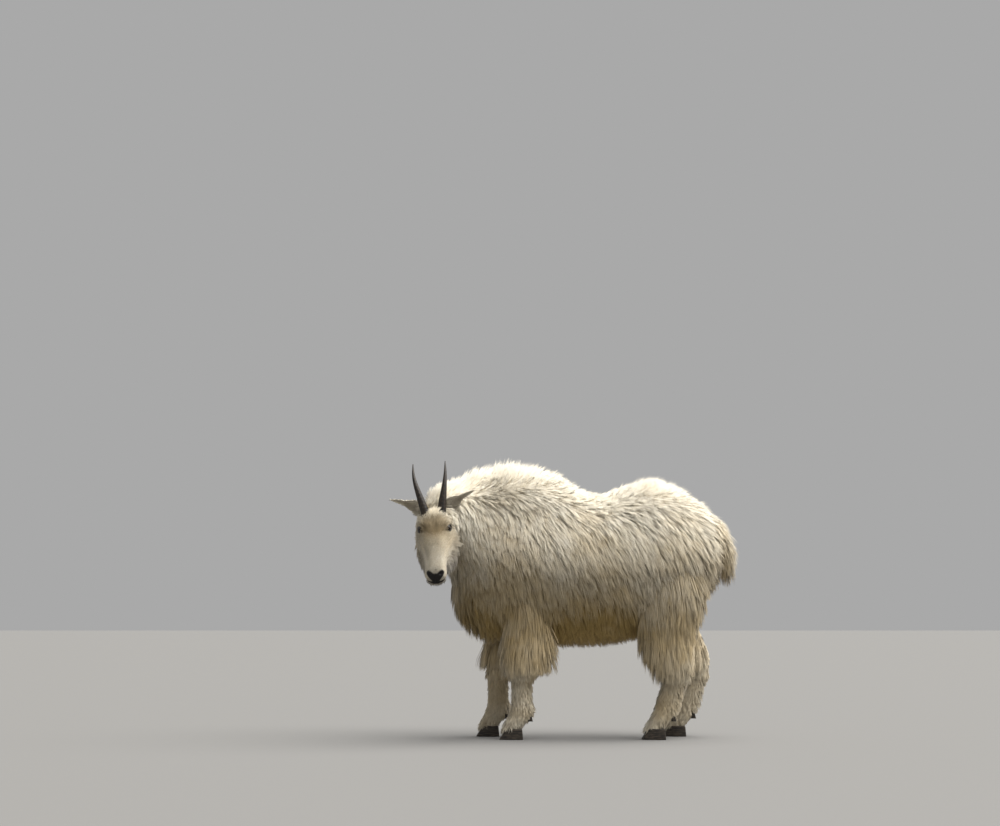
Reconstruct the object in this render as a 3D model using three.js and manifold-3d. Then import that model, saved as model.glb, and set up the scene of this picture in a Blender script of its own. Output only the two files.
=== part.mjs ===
// Mountain goat in its winter coat: a life-size still model, standing square with the head turned to its left.
// Millimetres, +Z up. The goat faces -X, its left side is towards -Y, and its hooves stand on z = 0.
import * as THREE from "three";
import { ConvexGeometry } from "three/addons/geometries/ConvexGeometry.js";
import { mergeVertices } from "three/addons/utils/BufferGeometryUtils.js";
import Module from "manifold-3d";

const wasm = await Module();
wasm.setup();

// Gap between nodes that meet, and a size past the whole animal for cutting boxes.
const GAP = 0.3;
const FAR = 2000;

// Torso under the outer half of the coat: [x, top, bottom, half width].
const TORSO = [
  [-446, 700, 560, 46],
  [-430, 780, 510, 84],
  [-398, 872, 462, 122],
  [-350, 940, 430, 148],
  [-290, 971, 410, 168],
  [-215, 980, 398, 180],
  [-140, 973, 393, 186],
  [-60, 945, 390, 192],
  [20, 915, 389, 197],
  [95, 908, 394, 198],
  [175, 926, 408, 192],
  [255, 940, 433, 184],
  [335, 931, 465, 172],
  [410, 902, 505, 150],
  [468, 856, 560, 118],
  [506, 792, 628, 66],
];

// Neck, which rises from the shoulders and bends round to the left: [x, y, z, half height, half width].
const NECK = [
  [-250, 0, 715, 248, 150],
  [-330, -6, 762, 214, 142],
  [-402, -28, 802, 172, 122],
  [-462, -72, 826, 126, 100],
  [-500, -124, 824, 96, 84],
  [-517, -182, 780, 76, 72],
];

// Legs of the left side: [z, x, y, half length fore and aft, half width].
const FORE_UPPER = [
  [640, -196, -84, 104, 62],
  [540, -188, -106, 94, 64],
  [450, -182, -110, 90, 58],
  [370, -180, -108, 82, 53],
  [300, -184, -104, 68, 47],
  [232, -206, -100, 41, 38],
];
const FORE_LOWER = [
  [232, -206, -100, 41, 38],
  [190, -206, -100, 39, 36],
  [150, -206, -100, 39, 36],
  [112, -203, -100, 46, 39],
  [88, -210, -100, 47, 40],
  [62, -229, -100, 42, 40],
  [40.3, -244, -100, 42, 40],
];
const HIND_UPPER = [
  [720, 330, -76, 120, 66],
  [620, 340, -96, 138, 78],
  [520, 346, -104, 134, 76],
  [440, 352, -106, 112, 66],
  [370, 368, -106, 84, 55],
  [310, 386, -106, 58, 46],
  [262, 378, -105, 49, 41],
];
const HIND_LOWER = [
  [262, 378, -105, 49, 41],
  [215, 362, -105, 47, 38],
  [165, 347, -105, 46, 37],
  [122, 334, -105, 46, 38],
  [92, 321, -105, 45, 39],
  [64, 302, -105, 42, 39],
  [40.3, 284, -105, 42, 40],
];
// How far each right leg stands ahead of or behind its left one.
const FORE_STRIDE = -88;
const HIND_STRIDE = 94;
const STRIDE_FROM = 540;
const STRIDE_FULL = 250;

// Tail: [x, y, z, half depth, half width].
const TAIL = [
  [470, 0, 800, 40, 44],
  [510, 0, 782, 36, 38],
  [545, 0, 738, 30, 33],
  [562, 0, 690, 25, 28],
  [568, 0, 640, 17, 20],
];

// Where the trunk is parted into nodes.
const NECK_CUT = { normal: [-0.923, 0, 0.385], offset: 646.4 };
const CHEST_CUT_X = -62;
const RUMP_CUT_X = 202;
const FORE_CUT_Z = 452;
const HIND_CUT_Z = 505;
const FORE_CUT_Y = 34;
const HIND_CUT_Y = 26;
const TAIL_BOX = { x: 524, z: [566, 862], halfWidth: 52 };
const FORE_CUT_X = -300;

// Head, in its own frame: x towards the nose, y to its left, z up, origin midway between the eyes.
const HEAD_AT = [-525.7, -230, 767];
const HEAD_HEADING = -88;
const HEAD_PITCH = 44;
const HEAD_ROLL = 5;
// [x, top, bottom, half width]
const HEAD = [
  [-104, 34, -92, 56],
  [-72, 45, -98, 63],
  [-36, 48, -101, 68],
  [0, 41, -98, 66],
  [36, 28, -93, 57],
  [72, 17, -88, 49],
  [106, 8, -84, 44],
  [138, 1, -84, 41],
  [164, -4, -86, 40],
  [184, -9, -87, 39],
  [199, -17, -85, 33],
  [208, -28, -75, 20],
];
const NECK_SEAM = { top: [-92, 40], bottom: [-58, -98] };
const EYE = { x: 0, y: 46, z: 10, radius: 14.5, lid: 3.2, openLength: 27, openHeight: 20, slant: -20 };
const MOUTH = { corner: 118, z: -60, gap: 2.2, lipRadius: 6, lipInset: 4.2 };
const NOSTRIL = { x: 196, y: 20, z: -31, length: 12, height: 6, rim: 3.6 };
const HORN = { x: -46, y: 26, z: 44, length: 206, radius: 18.5, tip: 1.6, baseTilt: 46, tipTilt: 82, spreadLeft: 9, spreadRight: 17, rings: 7 };
const EAR = { x: -84, y: 38, z: 28, length: 142, halfWidth: 31, depth: 17, wall: 4, riseLeft: 26, riseRight: 17, turn: -5 };

// Feet: two claws under each leg and two dewclaws behind it.
const CLAW = { length: 86, width: 37, height: 40, apart: 42, splay: 5, topLength: 62, toeSlope: 29 };
const DEWCLAW = { length: 26, radius: 9.5, behind: 36, above: 82, apart: 30 };

// Long coat of flat, tapered locks: [share of the length, share of the width, share of the thickness].
const LOCK = { thick: 15, sink: 18 };
const BENT_LOCK = [[0, 0.95, 1], [0.42, 1, 0.95], [0.78, 0.52, 0.75]];
const HANGING_LOCK = [[0, 0.9, 1], [0.55, 0.9, 0.9]];
const BEARD_LOCK = [[0, 0.9, 1], [0.5, 1, 0.9]];
// How far the tips stand off the core along the back: [x, lift].
const BACK_LIFT = [
  [-440, 40],
  [-350, 84],
  [-290, 63],
  [-215, 58],
  [-140, 57],
  [-60, 51],
  [20, 37],
  [95, 28],
  [175, 35],
  [255, 44],
  [335, 46],
  [410, 48],
  [468, 54],
  [506, 60],
];
const SIDE_LIFT = 36;
const BELLY_LIFT = 42;
const COAT_SEED = 20260;
const BEARD = [
  [176, -90, 40],
  [146, -66, 56],
  [112, -90, 74],
  [98, -58, 74],
  [62, -84, 84],
  [44, -46, 78],
  [6, -58, 84],
  [-26, -34, 80],
];

// Small tools for points, lofts and solids.
const X = new THREE.Vector3(1, 0, 0);
const Y = new THREE.Vector3(0, 1, 0);
const Z = new THREE.Vector3(0, 0, 1);
const rad = THREE.MathUtils.degToRad;
const vec = (x, y, z) => new THREE.Vector3(x, y, z);
const mix = THREE.MathUtils.lerp;

// A repeatable stream of numbers from 0 to 1.
function seeded(seed) {
  let state = seed;
  return () => {
    state = (state + 0x6d2b79f5) | 0;
    let t = Math.imul(state ^ (state >>> 15), 1 | state);
    t = (t + Math.imul(t ^ (t >>> 7), 61 | t)) ^ t;
    return ((t ^ (t >>> 14)) >>> 0) / 4294967296;
  };
}
const random = seeded(COAT_SEED);
const vary = (share) => 1 + share * (2 * random() - 1);

// Any closed three.js geometry as a solid.
function solidOf(geometry) {
  const g = geometry.index ? geometry.toNonIndexed() : geometry.clone();
  g.deleteAttribute("normal");
  g.deleteAttribute("uv");
  const merged = mergeVertices(g, 1e-3);
  const triVerts = new Uint32Array(merged.index.array);
  return new wasm.Manifold(
    new wasm.Mesh({ numProp: 3, vertProperties: merged.attributes.position.array, triVerts }),
  );
}

function geometryOf(solid) {
  const mesh = solid.getMesh();
  const g = new THREE.BufferGeometry();
  g.setAttribute("position", new THREE.BufferAttribute(mesh.vertProperties, 3));
  g.setIndex(new THREE.BufferAttribute(mesh.triVerts, 1));
  g.computeVertexNormals();
  return g;
}

// A closed skin over rows of points, with flat ends, or a pointed end where `tip` is given.
function loft(rings, tip) {
  const n = rings[0].length;
  const points = rings.flat();
  const faces = [];
  for (let r = 0; r + 1 < rings.length; r++) {
    for (let i = 0; i < n; i++) {
      const a = r * n + i;
      const b = r * n + ((i + 1) % n);
      faces.push([a, b, b + n], [a, b + n, a + n]);
    }
  }
  const last = (rings.length - 1) * n;
  for (let i = 1; i + 1 < n; i++) {
    faces.push([0, i + 1, i]);
    if (!tip) faces.push([last, last + i, last + i + 1]);
  }
  if (tip) {
    points.push(tip);
    for (let i = 0; i < n; i++) faces.push([last + i, last + ((i + 1) % n), points.length - 1]);
  }
  let volume = 0;
  for (const [a, b, c] of faces) {
    volume += points[a].dot(vec(0, 0, 0).crossVectors(points[b], points[c]));
  }
  if (volume < 0) faces.forEach((f) => f.reverse());
  const g = new THREE.BufferGeometry();
  g.setAttribute("position", new THREE.Float32BufferAttribute(points.flatMap((p) => p.toArray()), 3));
  g.setIndex(faces.flat());
  return solidOf(g);
}

const box = (low, high) => {
  const size = high.map((v, i) => v - low[i]);
  const middle = high.map((v, i) => (v + low[i]) / 2);
  return solidOf(new THREE.BoxGeometry(...size).translate(...middle));
};
const ball = (radius, sides, rows) => new THREE.SphereGeometry(radius, sides, rows);
const joined = (solids) => wasm.Manifold.union(solids);
const largest = (solid) => solid.decompose().reduce((a, b) => (b.volume() > a.volume() ? b : a));
// Slivers go and every corner is set on a fine grid, so that no two corners of a node nearly touch.
const TIDY = [0.005, 0.01, 0.02, 0.04];
function settled(solid) {
  for (const grid of TIDY) {
    const g = geometryOf(largest(solid).simplify(grid * 1.6));
    const p = g.attributes.position;
    for (let i = 0; i < p.array.length; i++) p.array[i] = Math.round(p.array[i] / grid) * grid;
    const tidy = largest(solidOf(g));
    if (closed(tidy)) return tidy;
  }
  throw new Error("a node keeps an edge with more than two faces");
}
// Every edge belongs to two faces, once corners in one place are one corner.
function closed(solid) {
  const g = geometryOf(solid);
  g.deleteAttribute("normal");
  const merged = mergeVertices(g, 1e-3);
  const index = merged.index.array;
  const edges = new Map();
  for (let i = 0; i < index.length; i += 3) {
    const face = [index[i], index[i + 1], index[i + 2]];
    if (new Set(face).size < 3) continue;
    face.forEach((a, k) => {
      const b = face[(k + 1) % 3];
      const key = a < b ? `${a}_${b}` : `${b}_${a}`;
      edges.set(key, (edges.get(key) ?? 0) + 1);
    });
  }
  return [...edges.values()].every((count) => count === 2);
}
// The space a solid takes with the gap around it.
const SHIFT = 0.4;
const shifts = [X, Y, Z].flatMap((v) => [v.toArray().map((c) => c * SHIFT), v.toArray().map((c) => -c * SHIFT)]);
const roomFor = (solid) => wasm.Manifold.hull(shifts.map((v) => solid.translate(v)));
const keepAbove = (solid, normal, offset) => solid.trimByPlane(normal, offset + GAP / 2);
const keepBelow = (solid, normal, offset) => solid.trimByPlane(normal.map((v) => -v), -(offset - GAP / 2));

// A limb is rows of [centre, half size a, half size b], smoothed between rows, with a section at any u.
function limb(rows, axes, section) {
  const table = rows.flatMap((r) => [...r.centre.toArray(), r.a, r.b]);
  const smooth = new THREE.CubicInterpolant(rows.map((_, i) => i), table, 5);
  const at = (u) => {
    const [x, y, z, a, b] = smooth.evaluate(u);
    return { centre: vec(x, y, z), a, b };
  };
  const point = (u, angle) => {
    const s = at(u);
    const [p, q] = section(angle);
    const [alongA, alongB] = axes(u, at);
    return s.centre.addScaledVector(alongA, s.a * p).addScaledVector(alongB, s.b * q);
  };
  const normal = (u, angle) => {
    const inside = Math.min(Math.max(u, 0.02), rows.length - 1.02);
    const here = point(inside, angle);
    const ahead = point(inside + 0.02, angle).sub(here);
    const round = point(inside, angle + 0.02).sub(here);
    const n = ahead.cross(round).normalize();
    return n.dot(here.sub(at(inside).centre)) < 0 ? n.negate() : n;
  };
  return { at, point, normal, end: rows.length - 1 };
}

const angles = (n) => Array.from({ length: n }, (_, i) => (2 * Math.PI * i) / n);
const ringsOf = (shape, steps, sides) =>
  Array.from({ length: steps + 1 }, (_, i) => angles(sides).map((t) => shape.point((shape.end * i) / steps, t)));
const oval = (angle) => [Math.cos(angle), Math.sin(angle)];
// A deep trunk: full at the flanks and narrower along the spine.
const trunkSection = (angle) => {
  const c = Math.cos(angle);
  const s = Math.sin(angle);
  return [Math.sign(c) * Math.abs(c) ** 0.82 * (1 - 0.24 * Math.max(0, s)), s];
};

const torsoLimb = (grow) =>
  limb(
    TORSO.map(([x, top, bottom, half]) => ({
      centre: vec(x, 0, (top + bottom) / 2),
      a: half + grow,
      b: (top - bottom) / 2 + grow,
    })),
    () => [Y, Z],
    trunkSection,
  );

// Axes square to a bending limb, the second one as near to upright as it can be.
function bendAxes(u, at) {
  const step = 0.05;
  const tangent = at(u + step).centre.sub(at(u - step).centre).normalize();
  const across = vec(0, 0, 0).crossVectors(Z, tangent).normalize();
  return [across, vec(0, 0, 0).crossVectors(tangent, across).normalize()];
}
const bentLimb = (rows, grow) =>
  limb(
    rows.map(([x, y, z, high, wide]) => ({ centre: vec(x, y, z), a: wide + grow, b: high + grow })),
    bendAxes,
    oval,
  );

// Side is -1 for a left leg and 1 for a right one, which also takes the stride.
const legLimb = (rows, side, stride, grow) =>
  limb(
    rows.map(([z, x, y, long, wide]) => {
      const share = THREE.MathUtils.smoothstep(STRIDE_FROM - z, 0, STRIDE_FROM - STRIDE_FULL);
      return { centre: vec(x + (side > 0 ? stride * share : 0), -side * y, z), a: long + grow, b: wide + grow };
    }),
    () => [X, Y],
    oval,
  );
const torsoShape = torsoLimb(0);
const neckShape = bentLimb(NECK, 0);
const tailShape = bentLimb(TAIL, 0);

// A chain of convex hulls between rows, for a limb that bends too sharply for one skin.
function hullChain(shape, steps, sides) {
  const rings = ringsOf(shape, steps, sides);
  return joined(rings.slice(1).map((ring, i) => solidOf(new ConvexGeometry([...rings[i], ...ring]))));
}

const LEGS = [
  { name: "foreleg_left", upper: FORE_UPPER, lower: FORE_LOWER, side: -1, stride: FORE_STRIDE },
  { name: "foreleg_right", upper: FORE_UPPER, lower: FORE_LOWER, side: 1, stride: FORE_STRIDE },
  { name: "hindleg_left", upper: HIND_UPPER, lower: HIND_LOWER, side: -1, stride: HIND_STRIDE },
  { name: "hindleg_right", upper: HIND_UPPER, lower: HIND_LOWER, side: 1, stride: HIND_STRIDE },
];
LEGS.forEach((leg) => {
  leg.shape = legLimb(leg.upper, leg.side, leg.stride, 0);
  leg.shinShape = legLimb(leg.lower, leg.side, leg.stride, 0);
});

// The end rings of a limb, moved outwards so that its ends grow with its sides.
function longer(rings, grow) {
  const away = rings[0][0].clone().sub(rings[1][0]).normalize().multiplyScalar(grow);
  const ahead = rings.at(-1)[0].clone().sub(rings.at(-2)[0]).normalize().multiplyScalar(grow);
  rings[0].forEach((p) => p.add(away));
  rings.at(-1).forEach((p) => p.add(ahead));
  return rings;
}

// Trunk core: torso, neck, tail and upper legs in one piece.
const coreOf = (grow) =>
  joined([
    loft(longer(ringsOf(torsoLimb(grow), 10, 16), 2 * grow)),
    hullChain(bentLimb(NECK, grow), 5, 12),
    loft(longer(ringsOf(bentLimb(TAIL, grow), 3, 7), grow)),
    ...LEGS.map((leg) => loft(longer(ringsOf(legLimb(leg.upper, leg.side, leg.stride, grow), 4, 9), grow))),
  ]);
const trunkCore = coreOf(0);
const trunkCoreRoom = coreOf(GAP);

// The nearest way along a skin that follows a direction, as steps of u and angle for each millimetre.
function wayAlong(shape, u, angle, direction) {
  const e = 0.02;
  const low = Math.max(0, Math.min(u, shape.end) - e);
  const high = Math.min(shape.end, Math.max(u, 0) + e);
  const alongU = shape.point(high, angle).sub(shape.point(low, angle)).divideScalar(high - low);
  const alongA = shape.point(u, angle + e).sub(shape.point(u, angle - e)).divideScalar(2 * e);
  const uu = alongU.lengthSq();
  const aa = alongA.lengthSq();
  const ua = alongU.dot(alongA);
  const du = direction.dot(alongU);
  const da = direction.dot(alongA);
  const det = Math.max(uu * aa - ua * ua, 1e-6);
  const way = { u: (du * aa - da * ua) / det, angle: (da * uu - du * ua) / det };
  const size = alongU.multiplyScalar(way.u).addScaledVector(alongA, way.angle).length();
  return { u: way.u / size, angle: way.angle / size };
}

// One lock. `cling` is 1 where it follows the skin and 0 where it hangs free in a straight line.
function lockOn(shape, u, angle, look) {
  const root = shape.point(u, angle);
  const normal = shape.normal(u, angle);
  const lie = look.lie.clone().normalize();
  lie.applyAxisAngle(normal, (2 * random() - 1) * 0.22);
  const free = lie.clone().addScaledVector(normal, -Math.min(0, lie.dot(normal))).normalize();
  const length = look.length * vary(0.18);
  const width = look.width * vary(0.14);
  const lift = look.lift * vary(0.2);
  const sink = look.sink ?? LOCK.sink;
  const sway = length * 0.1 * (2 * random() - 1);
  const steps = 12;
  const line = [];
  let at = { u, angle };
  for (let i = 0; i <= steps; i++) {
    const t = i / steps;
    const onSkin = shape.point(at.u, at.angle);
    const out = shape.normal(at.u, at.angle).lerp(normal, 1 - look.cling).normalize();
    const centre = root.clone().addScaledVector(free, length * t).lerp(onSkin, look.cling);
    line.push({ centre: centre.addScaledVector(out, (sink + lift) * t ** 0.8 - sink), out });
    const way = wayAlong(shape, at.u, at.angle, lie);
    at = { u: THREE.MathUtils.clamp(at.u + (way.u * length) / steps, 0, shape.end), angle: at.angle + (way.angle * length) / steps };
  }
  const end = line[steps];
  const beside = vec(0, 0, 0).crossVectors(lie, end.out).normalize();
  const tip = end.centre.clone().addScaledVector(beside, sway);
  const blade = (grow) => {
    const rings = (look.stations ?? BENT_LOCK).map(([t, wide, thick]) => {
      const i = Math.round(t * steps);
      const { centre, out } = line[i];
      const ahead = line[Math.min(i + 1, steps)].centre.clone().sub(line[Math.max(i - 1, 0)].centre).normalize();
      const across = vec(0, 0, 0).crossVectors(ahead, out).normalize();
      const up = vec(0, 0, 0).crossVectors(across, ahead);
      const w = (width * wide) / 2 + 8 * grow;
      const h = (look.thick * thick) / 2;
      const c = centre.clone().addScaledVector(across, sway * t * t);
      if (i === 0) c.addScaledVector(ahead, -grow);
      return [
        c.clone().addScaledVector(across, w).addScaledVector(up, -h - grow),
        c.clone().addScaledVector(up, h + 1.3 * grow),
        c.clone().addScaledVector(across, -w).addScaledVector(up, -h - grow),
      ];
    });
    const last = rings[rings.length - 1].reduce((sum, p) => sum.addScaledVector(p, 1 / 3), vec(0, 0, 0));
    return loft(rings, tip.clone().addScaledVector(tip.clone().sub(last).normalize(), 10 * grow));
  };
  const solid = blade(0);
  return { root, solid, room: blade(0.55).add(solid) };
}

// A value that runs smoothly through a list of [place, value].
function valueAt(list, place) {
  const i = list.findIndex(([p]) => p > place);
  if (i === 0) return list[0][1];
  if (i < 0) return list[list.length - 1][1];
  return mix(list[i - 1][1], list[i][1], (place - list[i - 1][0]) / (list[i][0] - list[i - 1][0]));
}

// Roots stay off skin that lies inside the rest of the trunk.
const coreMesh = new THREE.Mesh(geometryOf(trunkCore), new THREE.MeshBasicMaterial({ side: THREE.DoubleSide }));
const probe = new THREE.Raycaster();
function outside(point, normal) {
  probe.set(point.clone().addScaledVector(normal, 6), normal);
  return probe.intersectObject(coreMesh).length % 2 === 0;
}

// Rows of locks over a skin, `along` apart from row to row and `across` apart in a row, each row shifted.
function coatOver(shape, along, across, lookAt) {
  const locks = [];
  const spine = [];
  for (let i = 0; i <= 60; i++) spine.push(shape.at((shape.end * i) / 60).centre);
  let run = along * 0.3;
  let row = 0;
  for (let i = 1; i <= 60; i++) {
    run += spine[i].distanceTo(spine[i - 1]);
    if (run < along) continue;
    run -= along;
    row += 1;
    const u = (shape.end * (i - 0.5)) / 60;
    const ring = angles(72).map((a) => shape.point(u, a));
    const girth = ring.reduce((sum, p, k) => sum + p.distanceTo(ring[(k + 1) % 72]), 0);
    const count = Math.max(5, Math.round(girth / across));
    let next = (row % 2) * 0.5 * (girth / count);
    let gone = 0;
    ring.forEach((p, k) => {
      gone += p.distanceTo(ring[(k + 1) % 72]);
      if (gone < next) return;
      next += girth / count;
      const angle = (2 * Math.PI * (k + 0.6 * random())) / 72;
      const place = Math.min(Math.max(u + ((2 * random() - 1) * 0.16 * along) / 60, 0.02), shape.end - 0.02);
      const root = shape.point(place, angle);
      const normal = shape.normal(place, angle);
      const look = lookAt(root, normal, place);
      if (look && outside(root, normal)) locks.push(lockOn(shape, place, angle, { thick: LOCK.thick, ...look }));
    });
  }
  return locks;
}
const smooth = THREE.MathUtils.smoothstep;

// Trunk: parted along the back, hanging down and back on the sides, straight down below.
const torsoCoat = coatOver(torsoShape, 130, 122, (root, normal) => {
  if (normal.z > 0.9) return null;
  const top = smooth(normal.z, 0.3, 0.92);
  const under = smooth(-normal.z, 0.4, 0.9);
  const front = smooth(-normal.x, 0.3, 0.8);
  const part = Math.sign(root.y || 1) * 0.3 * top;
  return {
    lie: vec(mix(0.3, 1, Math.max(top, under)) * (1 - front), part, -(1 - 0.8 * Math.max(top, under))),
    length: mix(mix(188, 146, top), 130, under),
    width: mix(126, 112, top),
    lift: mix(mix(SIDE_LIFT, valueAt(BACK_LIFT, root.x), top * 0.8), BELLY_LIFT, under),
    cling: mix(0.35, 0.92, smooth(root.z, 470, 620)),
    stations: root.z > 560 ? BENT_LOCK : HANGING_LOCK,
  };
});

// Crest of the back, standing up and lying back.
const crestCoat = [];
for (let x = -380; x < 480; x += 64) {
  const row = TORSO.findIndex(([rowX]) => rowX > x);
  const u = row - 1 + (x - TORSO[row - 1][0]) / (TORSO[row][0] - TORSO[row - 1][0]);
  const side = crestCoat.length % 2 ? 1 : -1;
  const look = {
    lie: vec(1, 0.1 * side, 0),
    length: 132,
    width: 92,
    lift: valueAt(BACK_LIFT, x + 100),
    cling: 0.9,
    thick: LOCK.thick,
  };
  crestCoat.push(lockOn(torsoShape, u, Math.PI / 2 + side * 0.09, look));
}

// Neck: off the crest to both sides, and a ruff that hangs from the throat.
const neckCoat = coatOver(neckShape, 92, 94, (root, normal, u) => {
  const top = smooth(normal.z, 0.3, 0.9);
  const under = smooth(-normal.z, 0.1, 0.8);
  const near = smooth(u, 3.2, 4.9);
  if (u > 4.9) return null;
  const back = neckShape.at(Math.max(u - 0.4, 0)).centre.sub(neckShape.at(u).centre).normalize();
  return {
    lie: back.multiplyScalar(mix(0.9, 1.6, top)).addScaledVector(Z, -mix(1, 0.1, top)),
    length: mix(156, 100, near) * mix(1, 0.92, under),
    width: mix(102, 76, near),
    lift: mix(mix(mix(34, valueAt(BACK_LIFT, root.x), top), 44, under), 20, near),
    cling: mix(mix(0.75, 0.9, top), 0.3, under),
    stations: top > 0.5 ? BENT_LOCK : HANGING_LOCK,
  };
});

// Upper legs: long chaps that hang straight down, fuller behind.
const legCoat = (leg) => {
  const fore = leg.upper === FORE_UPPER;
  return coatOver(leg.shape, 118, 104, (root, normal) => {
    const inner = smooth(-normal.y * leg.side, 0.2, 0.9);
    const rear = smooth(normal.x, 0.1, 0.9);
    const front = smooth(-normal.x, 0.1, 0.9);
    const low = smooth(330 - root.z, 0, 80);
    const spread = fore ? mix(mix(24, 38, rear), 14, front) : mix(mix(24, 40, rear), 20, front);
    return {
      lie: vec(0.06, 0, -1),
      length: mix(mix(172, 82, low), 60, inner * low),
      width: mix(104, 82, low),
      lift: mix(spread, 9, inner) * mix(1, 0.75, low),
      cling: 0.12,
      stations: HANGING_LOCK,
    };
  });
};

// Tail: a drooping brush.
const tailCoat = coatOver(tailShape, 66, 84, (root, normal, u) => ({
  lie: vec(0.16, 0, -1),
  length: mix(120, 66, smooth(u, 1, 4)),
  width: 66,
  lift: mix(mix(18, 36, smooth(normal.x, -0.2, 0.8)), 12, smooth(Math.abs(normal.y), 0.6, 1)),
  cling: 0.25,
  stations: HANGING_LOCK,
}));
const coatLocks = [...torsoCoat, ...crestCoat, ...neckCoat, ...LEGS.flatMap(legCoat), ...tailCoat];

// The head's back seam as a plane, in the head's frame and in the goat's.
const headTurn = new THREE.Euler(rad(HEAD_ROLL), rad(HEAD_PITCH), rad(HEAD_HEADING), "ZYX");
const headFrame = new THREE.Matrix4()
  .makeRotationFromEuler(headTurn)
  .setPosition(...HEAD_AT);
const seamTop = vec(NECK_SEAM.top[0], 0, NECK_SEAM.top[1]);
const seamBottom = vec(NECK_SEAM.bottom[0], 0, NECK_SEAM.bottom[1]);
const seamNormal = seamTop.clone().sub(seamBottom).cross(Y).normalize();
if (seamNormal.x < 0) seamNormal.negate();

// Lower legs, with a flat top under the knee or hock, and the room that the coat over them leaves.
for (const leg of LEGS) {
  const kneeZ = leg.lower[0][0];
  leg.shin = loft(ringsOf(leg.shinShape, 7, 10)).trimByPlane([0, 0, -1], -(kneeZ - GAP));
  leg.shinRoom = loft(ringsOf(legLimb(leg.lower, leg.side, leg.stride, GAP), 7, 10));
  leg.footCentre = leg.shinShape.at(leg.shinShape.end).centre;
}

// The trunk is parted by planes. A zone keeps what lies in it, grown by `grow` at those planes.
const neckZone = (solid, grow) => solid.trimByPlane(NECK_CUT.normal, NECK_CUT.offset - grow);
const bodyZone = (solid, grow) => solid.trimByPlane(NECK_CUT.normal.map((v) => -v), -NECK_CUT.offset - grow);
const beforeX = (solid, x, grow) => solid.trimByPlane([-1, 0, 0], -x - grow);
const behindX = (solid, x, grow) => solid.trimByPlane([1, 0, 0], x - grow);
const tailBox = (grow) =>
  box(
    [TAIL_BOX.x - grow, -TAIL_BOX.halfWidth - grow, TAIL_BOX.z[0] - grow],
    [FAR, TAIL_BOX.halfWidth + grow, TAIL_BOX.z[1] + grow],
  );
const legBox = (fore, side, grow) => {
  const inner = side * ((fore ? FORE_CUT_Y : HIND_CUT_Y) - grow);
  const outer = side * FAR;
  const [front, rear, top] = fore ? [FORE_CUT_X, CHEST_CUT_X, FORE_CUT_Z] : [RUMP_CUT_X, FAR, HIND_CUT_Z];
  return box(
    [front - grow, Math.min(inner, outer), -FAR],
    [rear + grow, Math.max(inner, outer), top + grow],
  );
};
const withoutLegs = (solid, fore, grow) => solid.subtract(legBox(fore, -1, -grow)).subtract(legBox(fore, 1, -grow));
const zones = {
  neck: neckZone,
  chest: (solid, grow) => withoutLegs(beforeX(bodyZone(solid, grow), CHEST_CUT_X, grow), true, grow),
  barrel: (solid, grow) => behindX(beforeX(solid, RUMP_CUT_X, grow), CHEST_CUT_X, grow),
  rump: (solid, grow) => withoutLegs(behindX(solid, RUMP_CUT_X, grow), false, grow).subtract(tailBox(-grow)),
  tail: (solid, grow) => solid.intersect(tailBox(grow)),
};
for (const leg of LEGS) {
  const fore = leg.upper === FORE_UPPER;
  zones[leg.name + "_upper"] = (solid, grow) => bodyZone(solid, grow).intersect(legBox(fore, leg.side, grow));
}

// The node that a lock is rooted in.
function ownerOf({ x, y, z }) {
  if (x * NECK_CUT.normal[0] + z * NECK_CUT.normal[2] > NECK_CUT.offset) return "neck";
  if (x > TAIL_BOX.x && Math.abs(y) < TAIL_BOX.halfWidth && z > TAIL_BOX.z[0] && z < TAIL_BOX.z[1]) return "tail";
  const side = y < 0 ? "left" : "right";
  if (x > FORE_CUT_X && x < CHEST_CUT_X && z < FORE_CUT_Z && Math.abs(y) > FORE_CUT_Y) return `foreleg_${side}_upper`;
  if (x > RUMP_CUT_X && z < HIND_CUT_Z && Math.abs(y) > HIND_CUT_Y) return `hindleg_${side}_upper`;
  return x < CHEST_CUT_X ? "chest" : x < RUMP_CUT_X ? "barrel" : "rump";
}

// Each node is its share of the core with its locks, clear of the nodes before it, whose locks lie over it.
const headRoom = box([-110, -104, -104], [300, 104, 150])
  .trimByPlane(seamNormal.toArray(), seamNormal.dot(seamTop) - GAP / 2)
  .transform(headFrame.toArray());
const nodes = {};
const rooms = [headRoom, ...LEGS.map((leg) => leg.shinRoom)];
for (const [name, zone] of Object.entries(zones)) {
  const own = coatLocks.filter((lock) => ownerOf(lock.root) === name);
  const solid = joined([zone(trunkCore, -GAP / 2), ...own.map((lock) => lock.solid)]);
  nodes[name] = solid.subtract(joined(rooms));
  rooms.push(zone(trunkCoreRoom, GAP / 2), ...own.map((lock) => lock.room));
}

const coatMaterial = new THREE.MeshStandardMaterial({ color: 0xe3dcc8, roughness: 0.95, metalness: 0 });
const faceMaterial = new THREE.MeshStandardMaterial({ color: 0xd8d0bd, roughness: 0.9, metalness: 0 });
const hornMaterial = new THREE.MeshStandardMaterial({ color: 0x1d1814, roughness: 0.45, metalness: 0 });
const eyeMaterial = new THREE.MeshStandardMaterial({ color: 0x1c120a, roughness: 0.08, metalness: 0 });

const goat = new THREE.Group();
goat.name = "mountain_goat";
function addNode(parent, name, solid, material) {
  const mesh = new THREE.Mesh(geometryOf(settled(solid)), material);
  mesh.name = name;
  parent.add(mesh);
  return mesh;
}

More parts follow.
